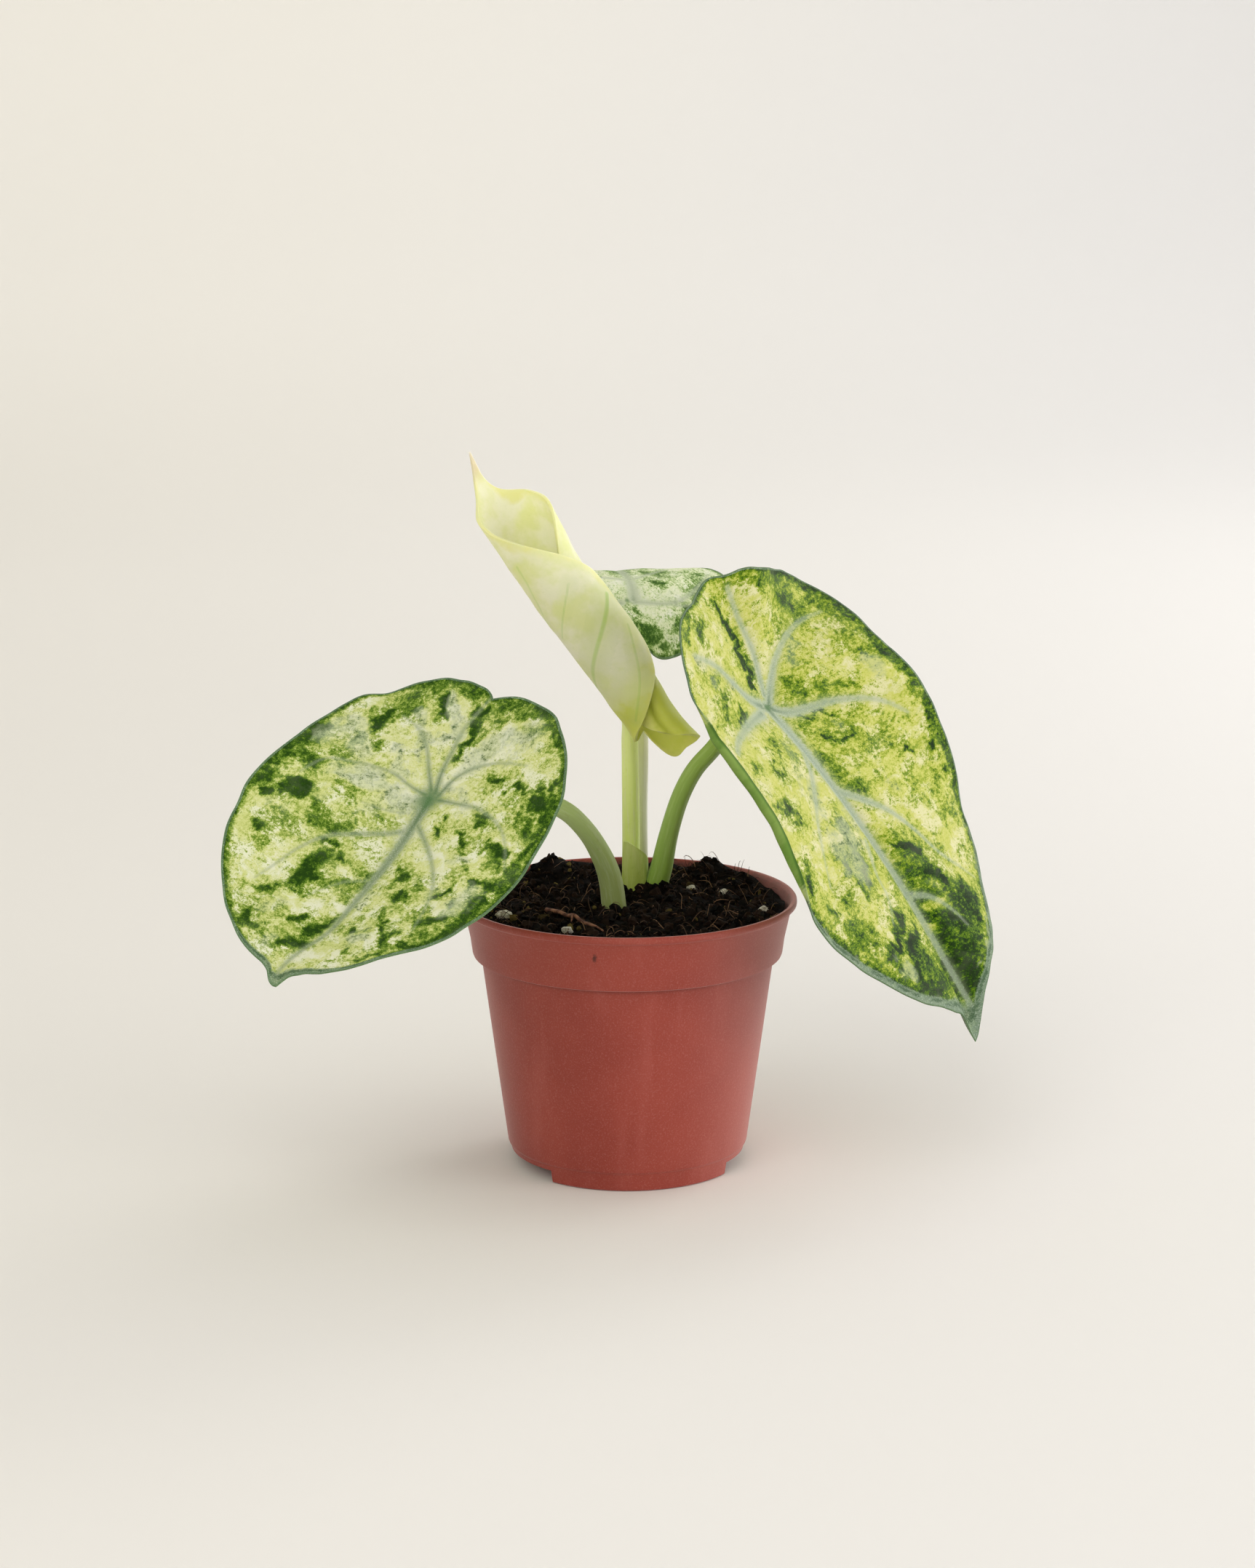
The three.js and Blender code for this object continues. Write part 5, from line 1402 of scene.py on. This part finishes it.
def rolled_blade():
    kept_values = {}

    def place(across, up):
        _, _, from_margin, a, s = polar_grid(across, up, 1.7, 1.2, roll_margin)
        in_widths, _, strong = vein_fields(ROLL_VEINS, a, s)
        relief = 0.15 * strong * bell(in_widths, 1.1) + 0.12 * lumps(a / 3 + 4, s / 3 + 8)
        crease = bell(distance_to(vein_points(ROLL_CREASE), a, s)[0], 1.1)
        relief = relief - 0.9 * crease + 0.25 * lumps(a / 5 + 1, s / 5 + 6) * ease(6, -4, a)
        kept_values.update(leaf_plane=np.stack([a, s, 0 * a], axis=1), vein=in_widths,
                           vein_strength=strong, rim=from_margin, crease=crease)
        return rolled_sheet(a, s, relief)

    roll = grid_piece("blade_new_rolled", 420, 90, place)
    store(roll, kept_values)
    tidy_mesh(roll, smooth=180, outward=False)
    thicken(roll, 0.55, offset=0)
    return roll


roll = rolled_blade()

# %% [markdown]
# The rolled leaf has hardly any green yet: cream walls that turn to yellow-green at the foot. It
# is thin and full of water, so light goes through it, and the shader gets some subsurface. The
# whiter finish meant for its inner face is in the second slot, and no face shows that one either.

# %% Rolled leaf finish
def young_finish(name, body, warm, foot, yellow, veined=1.0):
    skin = Finish(name, 0.5, 0.25, body)
    plane = skin.kept_place("leaf_plane")
    height = skin.add("SeparateXYZ", {0: plane})[0]
    broad = skin.noise(plane, 0.12, 4, 0.6)
    fine = skin.noise(plane, 1.6, 6, 0.75)
    skin.over(warm, broad, 0.4, 0.62)
    skin.over(foot, skin.total(height, skin.centred(broad, 30)), 5.0, -5.0, 0.9)
    skin.over((214, 222, 150), fine, 0.5, 0.75, 0.3 * veined)
    skin.over(yellow, skin.total(skin.kept("rim"), skin.centred(broad, 12)), 1.6, -0.6, 0.7)
    vein, strength = skin.kept("vein"), skin.mask(skin.kept("vein_strength"), 0.12, 0.42)
    skin.lay((206, 220, 140), skin.product(skin.mask(vein, 13.0, 0.5, 0.6 * veined), strength))
    skin.lay((150, 196, 70), skin.product(skin.mask(vein, 1.6, 0.3, 0.7 * veined), strength))
    skin.over((214, 190, 160), height, 44.0, 48.0, 0.8)
    skin.over((178, 186, 62), skin.kept("crease"), 0.3, 1.0, 0.7)
    skin.feed(skin.shader, {"Subsurface Weight": 0.6, "Subsurface Radius": (1.0, 0.95, 0.8),
                            "Subsurface Scale": 0.003})
    return skin.done(fine, 0.15, 0.0002)


young_outer = young_finish("young_leaf_outer", (246, 245, 200), (230, 235, 160), (206, 214, 70),
                           (232, 230, 128))
young_inner = young_finish("young_leaf_inner", (255, 254, 246), (255, 254, 240), (216, 222, 96),
                           (250, 246, 190), veined=0.2)
stand_in(roll, "young_leaf", [young_outer, young_inner], "leaf_new_rolled")

# %% [markdown]
# Its stalk stands in the middle of the plant and meets the rolled blade at the foot of the roll.

# %% The new leaf's stalk
roll_seat = rolled_sheet(np.zeros(1), np.zeros(1))[0]
roll_out = ROLL_LEFT * math.cos(ROLL_START) + ROLL_FRONT * math.sin(ROLL_START)
new_stalk = stalk("stalk_new", [
    (0.6, 9.7, 37), (0.6, 9.7, 47.6), (0.6, 9.8, 57), (0.5, 10.5, 66), (0.4, 11.7, 73),
    (0.2, 13, 78), roll_seat + 2.6 * roll_out, roll_seat + 0.1 * roll_out],
    [1.8, 1.6, 1.55, 1.5, 1.3])
stand_in(new_stalk, "young_leaf", [lime_skin], "leaf_new_rolled")

# %% [markdown]
# ## The sheath
# Each stalk of an alocasia clasps the next younger one with a pointed sheath. This one stands at
# the foot of the right stalk. It is a strip of a tube, cut to a point by its two edges.

# %% Sheath
SHEATH_HEIGHTS = [42, 51.4, 52.6, 53.4, 54.1, 54.8, 55.5, 56.2]
SHEATH_FROM = [-34, -30, -30, -30, -29, -28, -27, -26]
SHEATH_TO = [100, 95, 80, 63, 46, 29, 10, -12]
SHEATH_FOOT, SHEATH_RISE, SHEATH_RADIUS = 42, 14.2, 2.8
SHEATH_CENTRE = (0.6, 9.7)
sheath_values = {}


def sheath_place(across, up):
    height = SHEATH_FOOT + SHEATH_RISE * up ** 0.9
    start = np.interp(height, SHEATH_HEIGHTS, SHEATH_FROM)
    end = np.interp(height, SHEATH_HEIGHTS, SHEATH_TO)
    turn = np.radians(start + (end - start) * across - 90)
    radius = SHEATH_RADIUS + 0.12 * np.cos(6 * across * math.pi) * (1 - up)
    sheath_values["stalk_way"] = np.stack([turn, height, 0 * up], axis=1)
    sheath_values["up_stalk"] = (height - SHEATH_FOOT) / SHEATH_RISE
    return np.stack([SHEATH_CENTRE[0] + radius * np.cos(turn),
                     SHEATH_CENTRE[1] + radius * np.sin(turn), height], axis=1)


sheath = grid_piece("stalk_sheath", 24, 40, sheath_place)
store(sheath, sheath_values)
tidy_mesh(sheath, smooth=180, outward=False)
modify(sheath, "SOLIDIFY", thickness=0.6 * MM, offset=0)
tidy_mesh(sheath, smooth=60)
sheath_skin = stalk_finish("sheath_skin", (152, 180, 64), (190, 208, 98), (208, 222, 126),
                           (222, 230, 152))
stand_in(sheath, "leaf", [sheath_skin], "leaf_right")
